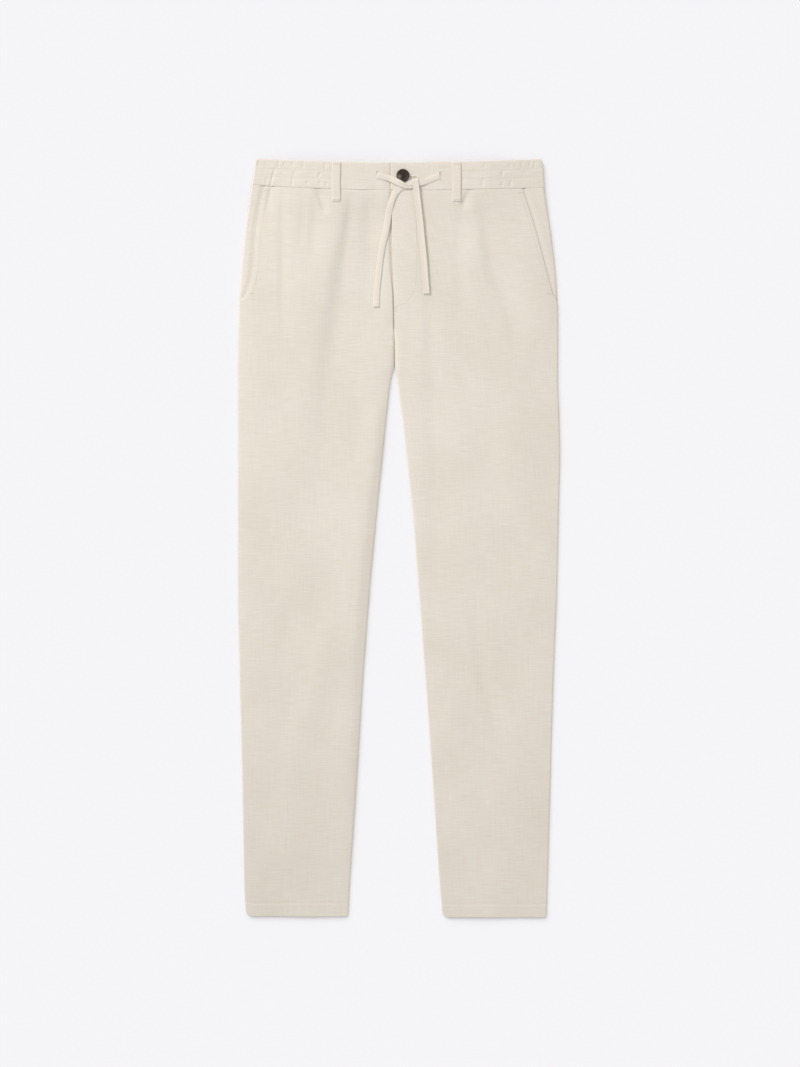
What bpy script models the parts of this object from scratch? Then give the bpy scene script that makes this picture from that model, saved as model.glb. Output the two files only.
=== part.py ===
"""Linen chinos with a drawstring waist, lying flat on their back on the floor.

+X is the wearer's left, +Y runs from the hems to the waist and +Z is up, away from the floor.
The floor is z = 0 and the origin is the centre of the outline. Lengths are in millimetres until
a mesh is made, and metres from there on. A side is +1 for the wearer's left and -1 for the right.
"""

import math
from collections import namedtuple

import bmesh
import bpy
from mathutils import Vector

for old in list(bpy.data.objects):
    bpy.data.objects.remove(old)

# ---------------------------------------------------------------- driving dimensions
MM = 0.001  # metres in a millimetre
LEFT = 1
RIGHT = -1

CLOTH = 1.2  # a wall of linen with its seam allowances
BAND = 1.8  # a wall of the waistband, with interlining or elastic
GAP = 0.3  # between pieces that are sewn to each other or lie on each other
STEP = CLOTH + GAP  # how far a lap lies below the cloth over it
BAND_STEP = BAND + GAP

WAIST_SEAM = 497.0  # waist seam at the middle
WAIST_TOP = 536.0  # top edge at the middle
TOP_RISE = 5.0  # how much higher the top edge is at the sides
SEAM_RISE = {RIGHT: 7.5, LEFT: 4.0}  # the same for the waist seam
SEAM_BENDS_FROM = 430.0  # rows above this follow the bend of the waist seam
SIDE_X = 204.0  # half the waist, where those rises are reached
BAND_HEIGHT = 8.4  # top of the waistband above the floor
SIDE_TOP = WAIST_TOP + TOP_RISE
CROTCH = 250.0
ROLLS_FROM = CROTCH + 42.0  # the centre seams begin to roll over into the inseams here
HEM = {RIGHT: -539.5, LEFT: -541.0}
HEM_CORNER = {("outer", RIGHT): 9.0, ("inner", RIGHT): 3.0, ("outer", LEFT): 2.0, ("inner", LEFT): 9.0}

FLY_END = 305.0  # below this the centre front is a plain seam
FLY_LAP = 4.0  # how far the right front runs under the left one
FLY_DIP = 9.0  # width over which it sinks to get there
FLY_SINKS = (282.0, 297.0)  # it begins to sink at the first height and has sunk at the second
SHIELD = (-6.0, 36.0)  # fly shield, from and to, measured from the centre front
SHIELD_FROM = 345.0

POCKET_END = 342.0
POCKET_LAP = 15.0  # how far the facing runs under the front
POCKET_DIP = 5.0  # width over which it sinks to get there
POCKET_CLEAR = 1.2  # how far outside the mouth it has sunk

ELASTIC_FROM = {RIGHT: -94.0, LEFT: 89.0}  # where the gathered sections begin
BAND_LAP_EDGE = -10.7  # free end of the left band, on top
BAND_LAP_END = 36.0  # end of the right band, underneath
BAND_DIP = 10.0
EYELET_X = {RIGHT: -30.7, LEFT: 60.6}
EYELET_Y = 520.0
EYELET = (1.6, 12.0)  # slit, width and height
BUTTONHOLE = (17.5, 517.0, 24.0, 1.6)  # centre x and y, length, width
THREAD = (8.1, 2.4, 1.0)  # button thread: x, and its size along and across the buttonhole

LOOP_X = {RIGHT: -89.5, LEFT: 82.5}
LOOP_WIDTH = 12.0
LOOP_WALL = 1.2
LOOP_FOOT = 480.7
LOOP_HEAD = 1.5  # below the top edge of the waistband
LOOP_BOW = 0.7  # how far a loop stands off the band
BACK_LOOP_WALL = 1.0
BACK_LOOP_X = (-105.0, -8.0, 105.0)

BUTTON_AT = (6.6, 518.5)
BUTTON_RADIUS = 9.25
BUTTON_THICK = 2.6
BUTTON_HOLE = 0.9  # radius of each of its four holes
BUTTON_HOLE_STEP = 2.3  # from the middle to a hole, along x and along y

TAPE = 9.0  # drawstring, a flat woven tape
TAPE_WALL = 0.9
KNOT_AT = (14.5, 505.0, 11.1)
KNOT_RADII = (5.8, 5.8, 2.2)

# ---------------------------------------------------------------- outline and heights
Section = namedtuple("Section", "y right_outer right_inner left_inner left_outer")
OUTLINE = [  # above the crotch both inner edges are the centre front
    Section(-541, -218.0, -72.5, 62.5, 210.5),
    Section(-500, -220.5, -70.5, 59.0, 212.0),
    Section(-360, -223.0, -61.0, 49.5, 216.0),
    Section(-200, -227.0, -51.0, 38.0, 220.5),
    Section(-60, -230.0, -40.5, 27.5, 226.0),
    Section(40, -230.0, -31.0, 19.5, 228.0),
    Section(120, -230.0, -23.0, 11.0, 230.0),
    Section(180, -230.0, -17.0, 4.5, 228.5),
    Section(226, -230.0, -11.5, -2.0, 227.0),
    Section(250, -230.0, -7.0, -7.0, 227.0),
    Section(320, -228.5, -7.5, -7.5, 227.0),
    Section(380, -224.5, -9.5, -9.5, 223.5),
    Section(440, -218.5, -11.5, -11.5, 216.5),
    Section(500, -209.0, -11.0, -11.0, 207.5),
    Section(541, -204.0, -11.0, -11.0, 203.0),
]

Height = namedtuple("Height", "y top bed")
HEIGHTS = [  # the front's upper face, and how far the back is lifted by the belt loops under it
    Height(-541, 5.2, 0.0),
    Height(-522, 5.6, 0.0),
    Height(250, 5.8, 0.0),
    Height(400, 6.2, 0.0),
    Height(450, 6.8, 0.0),
    Height(478, 7.5, BACK_LOOP_WALL + GAP),
    Height(497, 7.8, BACK_LOOP_WALL + GAP),
    Height(541, 7.8, BACK_LOOP_WALL + GAP),
]

# Faces across the rolled edges and the flat of a panel.
EDGE_STEPS = 3
SIDE_STEPS = 4
FRONT_STEPS = 12
BACK_STEPS = 6
LEAST_EDGE = 4.0  # the edge's faces span at least this where a panel ends flat

# Hand-pocket mouths, from the pocket's foot on the side seam to the waist seam.
Mouth = namedtuple("Mouth", "y right left")
MOUTH = [
    Mouth(342, -220.0, 221.0),
    Mouth(385, -208.5, 210.0),
    Mouth(440, -204.0, 195.0),
    Mouth(497, -191.0, 176.0),
]

# The largest folds of the front, as troughs. A fold bows sideways at half its length, is deepest
# at the given share of its length from the top, and has its width on each side.
Fold = namedtuple("Fold", "top_x top_y foot_x foot_y bow width deepest depth")
FOLDS = [
    Fold(-72, 496, -136, 110, -8, 15, 0.30, 2.6),
    Fold(-53, 492, -52, 425, 0, 11, 0.45, 1.0),
    Fold(-169, 478, -168, 320, 0, 12, 0.50, 1.0),
    Fold(112, 490, 149, 300, -4, 14, 0.40, 2.0),
    Fold(88, 480, 83, 338, 0, 13, 0.50, 0.8),
    Fold(159, 342, 155, 232, 0, 13, 0.50, 0.7),
]

FRONT_ROWS = [
    -522, -440, -360, -280, -200, -120, -40, 40, 120, 170, 210, 235, 250, 265, 280, 292, 300, 308,
    325, 341.4, 342, 355, 370, 385, 400, 415, 430, 450, 464, 478, 488, 497,
]  # fmt: skip
BACK_ROWS = [-522, -360, -200, -40, 120, 210, 235, 250, 265, 280, 292, 400, 450, 478, 488, 497]


# ---------------------------------------------------------------- curves
def smooth(knots, at):
    """The value at a place on a curve through the knots that doesn't overshoot them."""
    at = min(max(at, knots[0][0]), knots[-1][0])
    k = next(k for k in range(len(knots) - 1) if at <= knots[k + 1][0])
    chords = [(b[1] - a[1]) / (b[0] - a[0]) for a, b in zip(knots, knots[1:])]

    def slope(n):
        before = chords[max(n - 1, 0)]
        after = chords[min(n, len(chords) - 1)]
        if before * after <= 0:
            return 0.0
        return 2 * before * after / (before + after)

    span = knots[k + 1][0] - knots[k][0]
    t = (at - knots[k][0]) / span
    start = (1 + 2 * t) * (1 - t) ** 2 * knots[k][1] + t * (1 - t) ** 2 * span * slope(k)
    end = t * t * (3 - 2 * t) * knots[k + 1][1] + t * t * (t - 1) * span * slope(k + 1)
    return start + end


def straight(knots, at):
    """The value at a place on straight lines through the knots."""
    at = min(max(at, knots[0][0]), knots[-1][0])
    k = next(k for k in range(len(knots) - 1) if at <= knots[k + 1][0])
    t = (at - knots[k][0]) / (knots[k + 1][0] - knots[k][0])
    return knots[k][1] * (1 - t) + knots[k + 1][1] * t


def ease(t):
    """0 below 0, 1 above 1, and smooth between."""
    t = min(max(t, 0.0), 1.0)
    return t * t * (3 - 2 * t)


def column(table, name):
    return [(row.y, getattr(row, name)) for row in table]


SIDE_NAME = {LEFT: "left", RIGHT: "right"}
EDGES = {
    (edge, side): column(OUTLINE, f"{SIDE_NAME[side]}_{edge}")
    for edge in ("outer", "inner")
    for side in (LEFT, RIGHT)
}
MOUTHS = {side: column(MOUTH, SIDE_NAME[side]) for side in (LEFT, RIGHT)}
TOPS = column(HEIGHTS, "top")
BEDS = column(HEIGHTS, "bed")


def edge_x(edge, side, y):
    """Where the outer or inner edge of one side lies at a height, with the hem's round corners."""
    outward = side if edge == "outer" else -side
    corner = HEM_CORNER[edge, side]
    short = corner - min(y - HEM[side], corner)
    cut = corner - math.sqrt(max(corner**2 - short**2, 0.0))
    return smooth(EDGES[edge, side], y) - outward * cut


def fold_depth(x, y):
    """How deep the folds are at a point of the front."""
    depth = 0.0
    for fold in FOLDS:
        share = (fold.top_y - y) / (fold.top_y - fold.foot_y)
        if 0 < share < 1:
            line = fold.top_x + (fold.foot_x - fold.top_x) * share
            line += fold.bow * math.sin(math.pi * share)
            end = share / fold.deepest if share < fold.deepest else (1 - share) / (1 - fold.deepest)
            depth += fold.depth * ease(end) * math.exp(-(((x - line) / fold.width) ** 2))
    return depth


def side_share(x):
    return (x / SIDE_X) ** 2


def seam_rise(x):
    """How much higher the waist seam is here than at the middle."""
    return SEAM_RISE[LEFT if x > 0 else RIGHT] * side_share(x)


def bent(x, y):
    """The real height of a point of a row, since the rows near the waist seam bend with it."""
    return y + seam_rise(x) * ease((y - SEAM_BENDS_FROM) / (WAIST_SEAM - SEAM_BENDS_FROM))


def front_face(x, y):
    """Height of the front's upper face, on the cloth or on the waistband."""
    if y > WAIST_SEAM + seam_rise(x):
        return BAND_HEIGHT
    return straight(TOPS, y) - fold_depth(x, y)


# ---------------------------------------------------------------- making meshes
def finish(name, colour, roughness):
    """A plain material."""
    made = bpy.data.materials.new(name)
    made.use_nodes = True
    shader = made.node_tree.nodes["Principled BSDF"]
    shader.inputs["Base Color"].default_value = (*colour, 1.0)
    shader.inputs["Roughness"].default_value = roughness
    shader.inputs["Metallic"].default_value = 0.0
    return made


LINEN = finish("linen", (0.77, 0.71, 0.62), 0.85)
BAND_LINEN = finish("waistband_linen", (0.77, 0.71, 0.62), 0.85)
TAPE_COTTON = finish("drawstring_tape", (0.84, 0.77, 0.68), 0.8)
BUTTON_RESIN = finish("button_resin", (0.045, 0.032, 0.026), 0.35)
SEWING_THREAD = finish("sewing_thread", (0.06, 0.045, 0.04), 0.7)


def add_object(name, mesh, material):
    """Puts a bmesh in the scene as one named object, faces out."""
    bmesh.ops.recalc_face_normals(mesh, faces=mesh.faces)
    data = bpy.data.meshes.new(name)
    mesh.to_mesh(data)
    mesh.free()
    data.materials.append(material)
    made = bpy.data.objects.new(name, data)
    bpy.context.scene.collection.objects.link(made)
    return made


def border(grid):
    """The points round a grid, in order."""
    last = [row[-1] for row in grid[1:-1]]
    first = [row[0] for row in grid[-2:0:-1]]
    return grid[0] + last + grid[-1][::-1] + first


def shell(name, rows, material):
    """A wall from rows of (outside, inside) point pairs, closed by a rim."""
    mesh = bmesh.new()
    grids = []
    for k in (0, 1):
        grid = [[mesh.verts.new(Vector(pair[k]) * MM) for pair in row] for row in rows]
        for low, high in zip(grid, grid[1:]):
            for i in range(len(low) - 1):
                mesh.faces.new((low[i], low[i + 1], high[i + 1], high[i]))
        grids.append(border(grid))
    outer, inner = grids
    for k in range(len(outer)):
        mesh.faces.new((outer[k - 1], outer[k], inner[k], inner[k - 1]))
    return add_object(name, mesh, material)


def wall_pair(x, y, z, normal, wall):
    """The points of a wall on both sides of its middle. normal is (x, z)."""
    half = wall / 2
    outside = (x + normal[0] * half, y, z + normal[1] * half)
    inside = (x - normal[0] * half, y, z - normal[1] * half)
    return outside, inside


def cut(target, mesh):
    """Takes the shape of a bmesh, placed as the target is, out of it."""
    cutter = add_object(f"{target.name}_cutter_{len(target.modifiers)}", mesh, target.data.materials[0])
    cutter.location = target.location
    cutter.hide_render = True
    cutter.display_type = "WIRE"
    modifier = target.modifiers.new("cut", "BOOLEAN")
    modifier.operation = "DIFFERENCE"
    modifier.object = cutter


def block(size, middle):
    """A box as a bmesh."""
    mesh = bmesh.new()
    bmesh.ops.create_cube(mesh, size=1.0)
    bmesh.ops.scale(mesh, vec=Vector(size) * MM, verts=mesh.verts)
    bmesh.ops.translate(mesh, vec=Vector(middle) * MM, verts=mesh.verts)
    return mesh


def cut_slot(target, x, y, size_x, size_y):
    """Cuts an upright slot right through a wall of the waistband."""
    cut(target, block((size_x, size_y, 3 * BAND), (x, y, BAND_HEIGHT - BAND / 2)))


# ---------------------------------------------------------------- the tube of the leg
def roll(edge, outward, radius, centre, ends_at, run, up, wall):
    """A point of a wall that rolls over an edge of the flattened tube, and its normal.

    run is the distance from the wall's end, which is at the angle ends_at above the middle
    height: 0 rolls all the way to the side, a right angle doesn't roll at all.
    """
    arc = radius * (math.pi / 2 - ends_at)
    end = edge - outward * wall / 2 * math.cos(ends_at)
    if run < arc:
        angle = ends_at + run / radius
        x = end - outward * radius * (math.cos(ends_at) - math.cos(angle))
        return x, centre + up * radius * math.sin(angle), (outward * math.cos(angle), up * math.sin(angle))
    x = end - outward * (radius * math.cos(ends_at) + run - arc)
    return x, centre + up * radius, (0.0, up)


def tube(y, wall, top=None):
    """Radius of the rolled edges and height of their middle."""
    top = straight(TOPS, y) if top is None else top
    bed = straight(BEDS, y)
    return (top - bed - wall) / 2, (top + bed) / 2


def inner_end(y, radius):
    """The angle at which a panel ends at the centre front or inseam. It rolls over near the crotch."""
    rolled = ease((ROLLS_FROM - y) / (ROLLS_FROM - CROTCH))
    lowest = GAP / 2 / radius
    return lowest + (math.pi / 2 - lowest) * (1 - rolled)


def panel_row(side, y, up, steps, outer_start, inner_shift):
    """Middle points and normals across one panel at a height, from its outer to its inner edge."""
    radius, centre = tube(y, CLOTH)
    quarter = radius * math.pi / 2
    ends_at = inner_end(y, radius)
    edges = {
        "outer": (edge_x("outer", side, y), side, radius, centre, 0.0),
        "inner": (edge_x("inner", side, y) + inner_shift, -side, radius, centre, ends_at),
    }
    inner_arc = max(radius * (math.pi / 2 - ends_at), LEAST_EDGE)
    outer_to = max(quarter, outer_start + LEAST_EDGE)
    row = []
    inner_side = []
    for i in range(EDGE_STEPS + 1):
        outer_run = outer_start + (outer_to - outer_start) * i / EDGE_STEPS
        inner_run = inner_arc * i / EDGE_STEPS
        row.append(roll(*edges["outer"], outer_run, up, CLOTH))
        inner_side.append(roll(*edges["inner"], inner_run, up, CLOTH))
    start, end = row[-1][0], inner_side[-1][0]
    for i in range(1, steps):
        row.append((start + (end - start) * i / steps, centre + up * radius, (0.0, up)))
    return row + inner_side[::-1]


def mouth_run(side, y):
    """How far round from the side seam the pocket mouth is."""
    radius, _ = tube(y, CLOTH)
    inward = abs(edge_x("outer", side, y) - smooth(MOUTHS[side], y)) - CLOTH / 2
    if inward < radius:
        return radius * math.acos(1 - inward / radius)
    return inward - radius + radius * math.pi / 2


def panel_ys(side, rows):
    """The heights of a panel's rows, with close ones round the hem's corners."""
    return [HEM[side] + lift for lift in (0.0, 3.0, 9.0)] + [float(y) for y in rows]


def front_panel(side):
    """A front, from hem to waist seam, cut away at the pocket and lapped at the fly."""
    rows = []
    for y in panel_ys(side, FRONT_ROWS):
        starts = mouth_run(side, y) if y >= POCKET_END else GAP / 2
        centre_front = edge_x("inner", side, y)
        shift = side * GAP / 2
        sinks = 0.0
        if side == RIGHT:
            lapped = 1.0 if y >= FLY_END else 0.0
            shift = FLY_LAP * lapped + shift * (1 - lapped)
            sinks = STEP * ease((y - FLY_SINKS[0]) / (FLY_SINKS[1] - FLY_SINKS[0]))
        row = []
        for x, z, normal in panel_row(side, y, 1, FRONT_STEPS, starts, shift):
            over = max(normal[1], 0.0) ** 2
            z -= fold_depth(x, y) * over
            z -= sinks * ease((x - centre_front + FLY_DIP) / (FLY_DIP - STEP))
            row.append(wall_pair(x, bent(x, y) - seam_half(y), z, normal, CLOTH))
        rows.append(row)
    return shell(f"front_panel_{SIDE_NAME[side]}", rows, LINEN)


def seam_half(y):
    """Half the seam gap on the row that is sewn to the waistband."""
    return GAP / 2 if y >= WAIST_SEAM else 0.0


def back_panel(side):
    """A back, flat on the floor, rolled up to meet the front at the side and the inseam."""
    rows = []
    for y in panel_ys(side, BACK_ROWS):
        row = []
        for x, z, normal in panel_row(side, y, -1, BACK_STEPS, GAP / 2, side * GAP / 2):
            row.append(wall_pair(x, bent(x, y) - seam_half(y), z, normal, CLOTH))
        rows.append(row)
    return shell(f"back_panel_{SIDE_NAME[side]}", rows, LINEN)


def pocket_facing(side):
    """The strip that shows in the pocket mouth. It is sewn in the side seam and sinks under the front."""
    rows = []
    for y in [y for y in FRONT_ROWS if y >= POCKET_END]:
        radius, centre = tube(y, CLOTH)
        mouth = mouth_run(side, y)
        flush = mouth - POCKET_DIP / 2
        runs = [GAP / 2 + (flush - GAP / 2) * i / SIDE_STEPS for i in range(SIDE_STEPS)]
        runs += [flush, mouth - POCKET_CLEAR, mouth + POCKET_LAP]
        row = []
        for run in runs:
            edge = (edge_x("outer", side, y), side, radius, centre, 0.0)
            x, z, normal = roll(*edge, run, 1, CLOTH)
            sunk = STEP * ease((run - mouth + POCKET_DIP) / (POCKET_DIP - POCKET_CLEAR))
            sunk += fold_depth(x, y) * max(normal[1], 0.0) ** 2
            x -= normal[0] * sunk
            z -= normal[1] * sunk
            row.append(wall_pair(x, bent(x, y) - seam_half(y), z, normal, CLOTH))
        rows.append(row)
    return shell(f"pocket_facing_{SIDE_NAME[side]}", rows, LINEN)


def fly_shield():
    """The underlap behind the fly, below both fronts."""
    rows = []
    for y in [SHIELD_FROM] + [y for y in FRONT_ROWS if y > SHIELD_FROM]:
        row = []
        for share in (0.0, 0.5, 1.0):
            x = edge_x("inner", LEFT, y) + SHIELD[0] + (SHIELD[1] - SHIELD[0]) * share
            z = straight(TOPS, y) - 2 * STEP - CLOTH / 2
            row.append(wall_pair(x, bent(x, y) - seam_half(y), z, (0.0, 1.0), CLOTH))
        rows.append(row)
    return shell("fly_shield", rows, LINEN)


# ---------------------------------------------------------------- waistband
def band_y(x, share):
    """Height across the waistband, from the waist seam (0) to its top edge (1)."""
    low = WAIST_SEAM + seam_rise(x) + GAP / 2
    high = WAIST_TOP + TOP_RISE * side_share(x)
    return low + (high - low) * share


def band_front(side):
    """The plain front section. The left one lies over the right one at the centre front."""
    joins = ELASTIC_FROM[side] - side * GAP / 2
    sinks_from = BAND_LAP_EDGE - BAND_DIP - 1.0
    rows = []
    for share in (0.0, 1.0):
        row = []
        if side == LEFT:
            xs = [BAND_LAP_EDGE + (joins - BAND_LAP_EDGE) * i / SIDE_STEPS for i in range(SIDE_STEPS + 1)]
        else:
            xs = [joins + (sinks_from - joins) * i / SIDE_STEPS for i in range(SIDE_STEPS)]
            xs += [sinks_from + BAND_DIP * i / SIDE_STEPS for i in range(SIDE_STEPS + 1)]
            xs += [BAND_LAP_END]
        for x in xs:
            z = BAND_HEIGHT - BAND / 2
            if side == RIGHT:
                z -= BAND_STEP * ease((x - sinks_from) / BAND_DIP)
            row.append(wall_pair(x, band_y(x, share), z, (0.0, 1.0), BAND))
        rows.append(row)
    made = shell(f"waistband_front_{SIDE_NAME[side]}", rows, BAND_LINEN)
    cut_slot(made, EYELET_X[side], EYELET_Y, *EYELET)
    if side == LEFT:
        cut_slot(made, *BUTTONHOLE)
    return made


def band_elastic(side):
    """The elasticated section, from the front belt loop round the side to the centre back."""
    centre_back = edge_x("inner", side, WAIST_SEAM) + side * GAP / 2
    joins = ELASTIC_FROM[side] + side * GAP / 2
    rows = []
    for share in (0.0, 0.33, 0.67, 1.0):
        y_nominal = WAIST_SEAM + (SIDE_TOP - WAIST_SEAM) * share
        edge = edge_x("outer", side, y_nominal)
        radius, centre = tube(y_nominal, BAND, BAND_HEIGHT)
        reach = radius * math.pi / 2
        turns = edge - side * (BAND / 2 + radius)
        row = []
        for i in range(SIDE_STEPS + 1):
            row.append((joins + (turns - joins) * i / (SIDE_STEPS + 1), centre + radius, (0.0, 1.0)))
        for up, order in ((1, range(SIDE_STEPS, 0, -1)), (-1, range(SIDE_STEPS + 1))):
            for i in order:
                row.append(roll(edge, side, radius, centre, 0.0, reach * i / SIDE_STEPS, up, BAND))
        for i in range(1, BACK_STEPS + 1):
            x = turns + (centre_back - turns) * i / BACK_STEPS
            row.append((x, centre - radius, (0.0, -1.0)))
        rows.append([wall_pair(x, band_y(x, share), z, n, BAND) for x, z, n in row])
    return shell(f"waistband_elastic_{SIDE_NAME[side]}", rows, BAND_LINEN)


def strip(name, width, wall, path, material):
    """A flat strip along a path of middle points, level across its width."""
    points = [Vector(p) for p in path]
    rows = []
    for k, point in enumerate(points):
        along = points[min(k + 1, len(points) - 1)] - points[max(k - 1, 0)]
        across = Vector((along.y, -along.x, 0.0)).normalized() * width / 2
        up = across.cross(along).normalized() * wall / 2
        rows.append([(point + s * across + up, point + s * across - up) for s in (-1, 1)])
    return shell(name, rows, material)


def belt_loop(side):
    """A front belt loop, from the band's top edge to its foot below the waist seam."""
    x = LOOP_X[side]
    head = band_y(x, 1.0) - LOOP_HEAD
    path = []
    for i in range(2 * SIDE_STEPS + 1):
        share = i / (2 * SIDE_STEPS)
        y = LOOP_FOOT + (head - LOOP_FOOT) * share
        climbs = ease((y - LOOP_FOOT) / (WAIST_SEAM - 4 - LOOP_FOOT))
        lies_on = straight(TOPS, y) * (1 - climbs) + BAND_HEIGHT * climbs
        z = lies_on + GAP + LOOP_WALL / 2 + LOOP_BOW * math.sin(math.pi * share)
        path.append((x, y, z))
    return strip(f"belt_loop_front_{SIDE_NAME[side]}", LOOP_WIDTH, LOOP_WALL, path, LINEN)


def back_belt_loop(name, x):
    """A belt loop of the back, pressed flat between the waistband and the floor."""
    path = [(x, y, BACK_LOOP_WALL / 2) for y in (LOOP_FOOT, band_y(x, 1.0) - LOOP_HEAD)]
    return strip(name, LOOP_WIDTH, BACK_LOOP_WALL, path, LINEN)


# ---------------------------------------------------------------- button
def button():
    """A round button with a raised rim, a dished middle and four holes."""
    base = BAND_HEIGHT + GAP
    r, thick = BUTTON_RADIUS, BUTTON_THICK
    profile = [
        (0.0, 0.0), (r - 1.6, 0.0), (r - 0.3, 0.7), (r, 1.4), (r - 0.5, thick - 0.2),
        (r - 1.3, thick), (r - 2.4, thick - 0.5), (0.0, thick - 0.9),
    ]  # fmt: skip
    mesh = bmesh.new()
    points = [mesh.verts.new(Vector((radius, 0.0, z)) * MM) for radius, z in profile]
    edges = [mesh.edges.new(pair) for pair in zip(points, points[1:])]
    bmesh.ops.spin(
        mesh, geom=points + edges, cent=(0, 0, 0), axis=(0, 0, 1), angle=2 * math.pi, steps=26
    )
    bmesh.ops.remove_doubles(mesh, verts=mesh.verts, dist=0.01 * MM)
    made = add_object("button", mesh, BUTTON_RESIN)
    made.data.shade_smooth()
    made.location = Vector((*BUTTON_AT, base)) * MM
    holes = bmesh.new()
    for x in (-BUTTON_HOLE_STEP, BUTTON_HOLE_STEP):
        for y in (-BUTTON_HOLE_STEP, BUTTON_HOLE_STEP):
            radius = BUTTON_HOLE * MM
            added = bmesh.ops.create_cone(
                holes, cap_ends=True, segments=8, radius1=radius, radius2=radius, depth=3 * thick * MM
            )
            bmesh.ops.translate(holes, vec=Vector((x, y, 0.0)) * MM, verts=added["verts"])
    cut(made, holes)
    return made


def button_thread():
    """The thread between the button and the right band, through the buttonhole."""
    low = BAND_HEIGHT - BAND_STEP + GAP
    x, along, across = THREAD
    size = (along, across, BAND_HEIGHT - low)
    middle = (x, BUTTONHOLE[1], (low + BAND_HEIGHT) / 2)
    return add_object("button_thread", block(size, middle), SEWING_THREAD)


# ---------------------------------------------------------------- drawstring
ON_BAND = BAND_HEIGHT + GAP + TAPE_WALL / 2  # middle of a tape that lies on the waistband


def on_front(x, y):
    """A middle point of the tape where it lies on the front."""
    heights = [front_face(x + dx, y) for dx in (-TAPE / 2, 0.0, TAPE / 2)]
    return x, y, max(heights) + GAP + TAPE_WALL / 2


# The tapes' routes. The two runs lead from the eyelets to the knot, over the button's lower edge
# on one side. The two tails hang from the knot over the waistband and the fronts.
RIGHT_RUN = [
    (-30.7, 520.0, ON_BAND), (-24.0, 518.2, ON_BAND + 0.1), (-17.0, 516.0, ON_BAND + 0.5),
    (-10.0, 513.4, ON_BAND + 1.4), (-4.5, 511.3, ON_BAND + 2.6), (-0.5, 509.8, ON_BAND + 3.1),
    (9.0, 506.9, ON_BAND + 3.1),
]  # fmt: skip
LEFT_RUN = [
    (60.6, 519.0, ON_BAND), (55.0, 516.6, ON_BAND), (44.0, 513.2, ON_BAND),
    (32.0, 508.8, ON_BAND), (20.3, 505.8, ON_BAND + 0.6),
]  # fmt: skip
LEFT_TAIL = [
    (22.8, 514.5, ON_BAND + 2.6), (24.1, 510.0, ON_BAND + 3.2), (25.1, 504.0, ON_BAND + 2.6),
    (25.8, 498.0, ON_BAND + 1.0), on_front(26.6, 489.0), on_front(28.0, 470.0),
    on_front(30.5, 440.0), on_front(33.6, 410.0), on_front(36.6, 380.0), on_front(39.5, 349.0),
]  # fmt: skip
RIGHT_TAIL = [
    (10.6, 500.4, ON_BAND + 0.5), (2.0, 493.4, ON_BAND + 0.1), on_front(-5.5, 485.0),
    on_front(-10.5, 474.0), on_front(-14.5, 457.0), on_front(-18.0, 440.0),
    on_front(-23.5, 415.0), on_front(-28.5, 385.0), on_front(-31.0, 357.0), on_front(-32.0, 330.5),
]  # fmt: skip


def knot():
    """The half knot of the two tapes, as one rounded solid."""
    mesh = bmesh.new()
    bmesh.ops.create_icosphere(mesh, subdivisions=2, radius=1.0)
    bmesh.ops.scale(mesh, vec=Vector(KNOT_RADII) * MM, verts=mesh.verts)
    bmesh.ops.translate(mesh, vec=Vector(KNOT_AT) * MM, verts=mesh.verts)
    return add_object("drawstring_knot", mesh, TAPE_COTTON)


# ---------------------------------------------------------------- the garment
for side in (LEFT, RIGHT):
    front_panel(side)
    back_panel(side)
    pocket_facing(side)
    band_front(side)
    band_elastic(side)
    belt_loop(side)
fly_shield()
for place, x in zip(("right", "centre", "left"), BACK_LOOP_X):
    back_belt_loop(f"belt_loop_back_{place}", x)
button()
button_thread()
for name, route in (
    ("drawstring_right_run", RIGHT_RUN),
    ("drawstring_left_run", LEFT_RUN),
    ("drawstring_right_tail", RIGHT_TAIL),
    ("drawstring_left_tail", LEFT_TAIL),
):
    strip(name, TAPE if "tail" in name else TAPE - 1.5, TAPE_WALL, route, TAPE_COTTON)
knot()
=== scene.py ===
"""Linen chinos with a drawstring waist, laid flat on a pale floor.

+X is the wearer's left, +Y runs from the hems to the waist and +Z is up, away from the floor.
Shapes are worked out in millimetres and turned to metres where a mesh is made. A side is +1 for
the wearer's left and -1 for the wearer's right.
"""

import math
import random
from collections import namedtuple

import bmesh
import bpy
import numpy as np
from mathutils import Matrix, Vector
from mathutils.bvhtree import BVHTree


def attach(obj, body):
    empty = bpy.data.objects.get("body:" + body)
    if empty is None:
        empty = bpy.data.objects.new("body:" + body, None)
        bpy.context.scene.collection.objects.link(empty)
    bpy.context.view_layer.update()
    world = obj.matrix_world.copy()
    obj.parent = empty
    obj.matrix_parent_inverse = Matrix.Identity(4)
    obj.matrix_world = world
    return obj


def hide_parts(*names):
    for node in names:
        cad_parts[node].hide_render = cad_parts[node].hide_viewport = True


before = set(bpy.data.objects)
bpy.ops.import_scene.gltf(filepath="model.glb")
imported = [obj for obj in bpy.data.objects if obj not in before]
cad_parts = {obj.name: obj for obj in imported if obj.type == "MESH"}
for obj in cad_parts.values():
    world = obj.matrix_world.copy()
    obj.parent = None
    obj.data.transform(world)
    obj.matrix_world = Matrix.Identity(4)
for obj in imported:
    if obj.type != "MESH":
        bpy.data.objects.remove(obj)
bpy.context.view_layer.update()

# ---------------------------------------------------------------- floor, light and camera
# The pair lies on a white painted board and is seen from straight above. Even light comes from
# all round. A broad lamp high on the upper left lights the cloth, brightest at the waist, and a
# soft sun from the same side throws the thin shadows on the board.
MM = 0.001  # metres in a millimetre
CAMERA_AT = (0.0017, 0.0071, 3.6)
CAMERA_LENS = 85.0  # on the 36 mm sensor that a new camera has
FLOOR_SIZE = 12.0
FLOOR_DROP = 0.0003  # below the cloth, so that the two don't share a plane
FLOOR_PAINT = "#F5F4F7"
PEEL = 3.33  # millimetres across a bump that the roller leaves in the paint
SKY = 0.706  # even light
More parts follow.
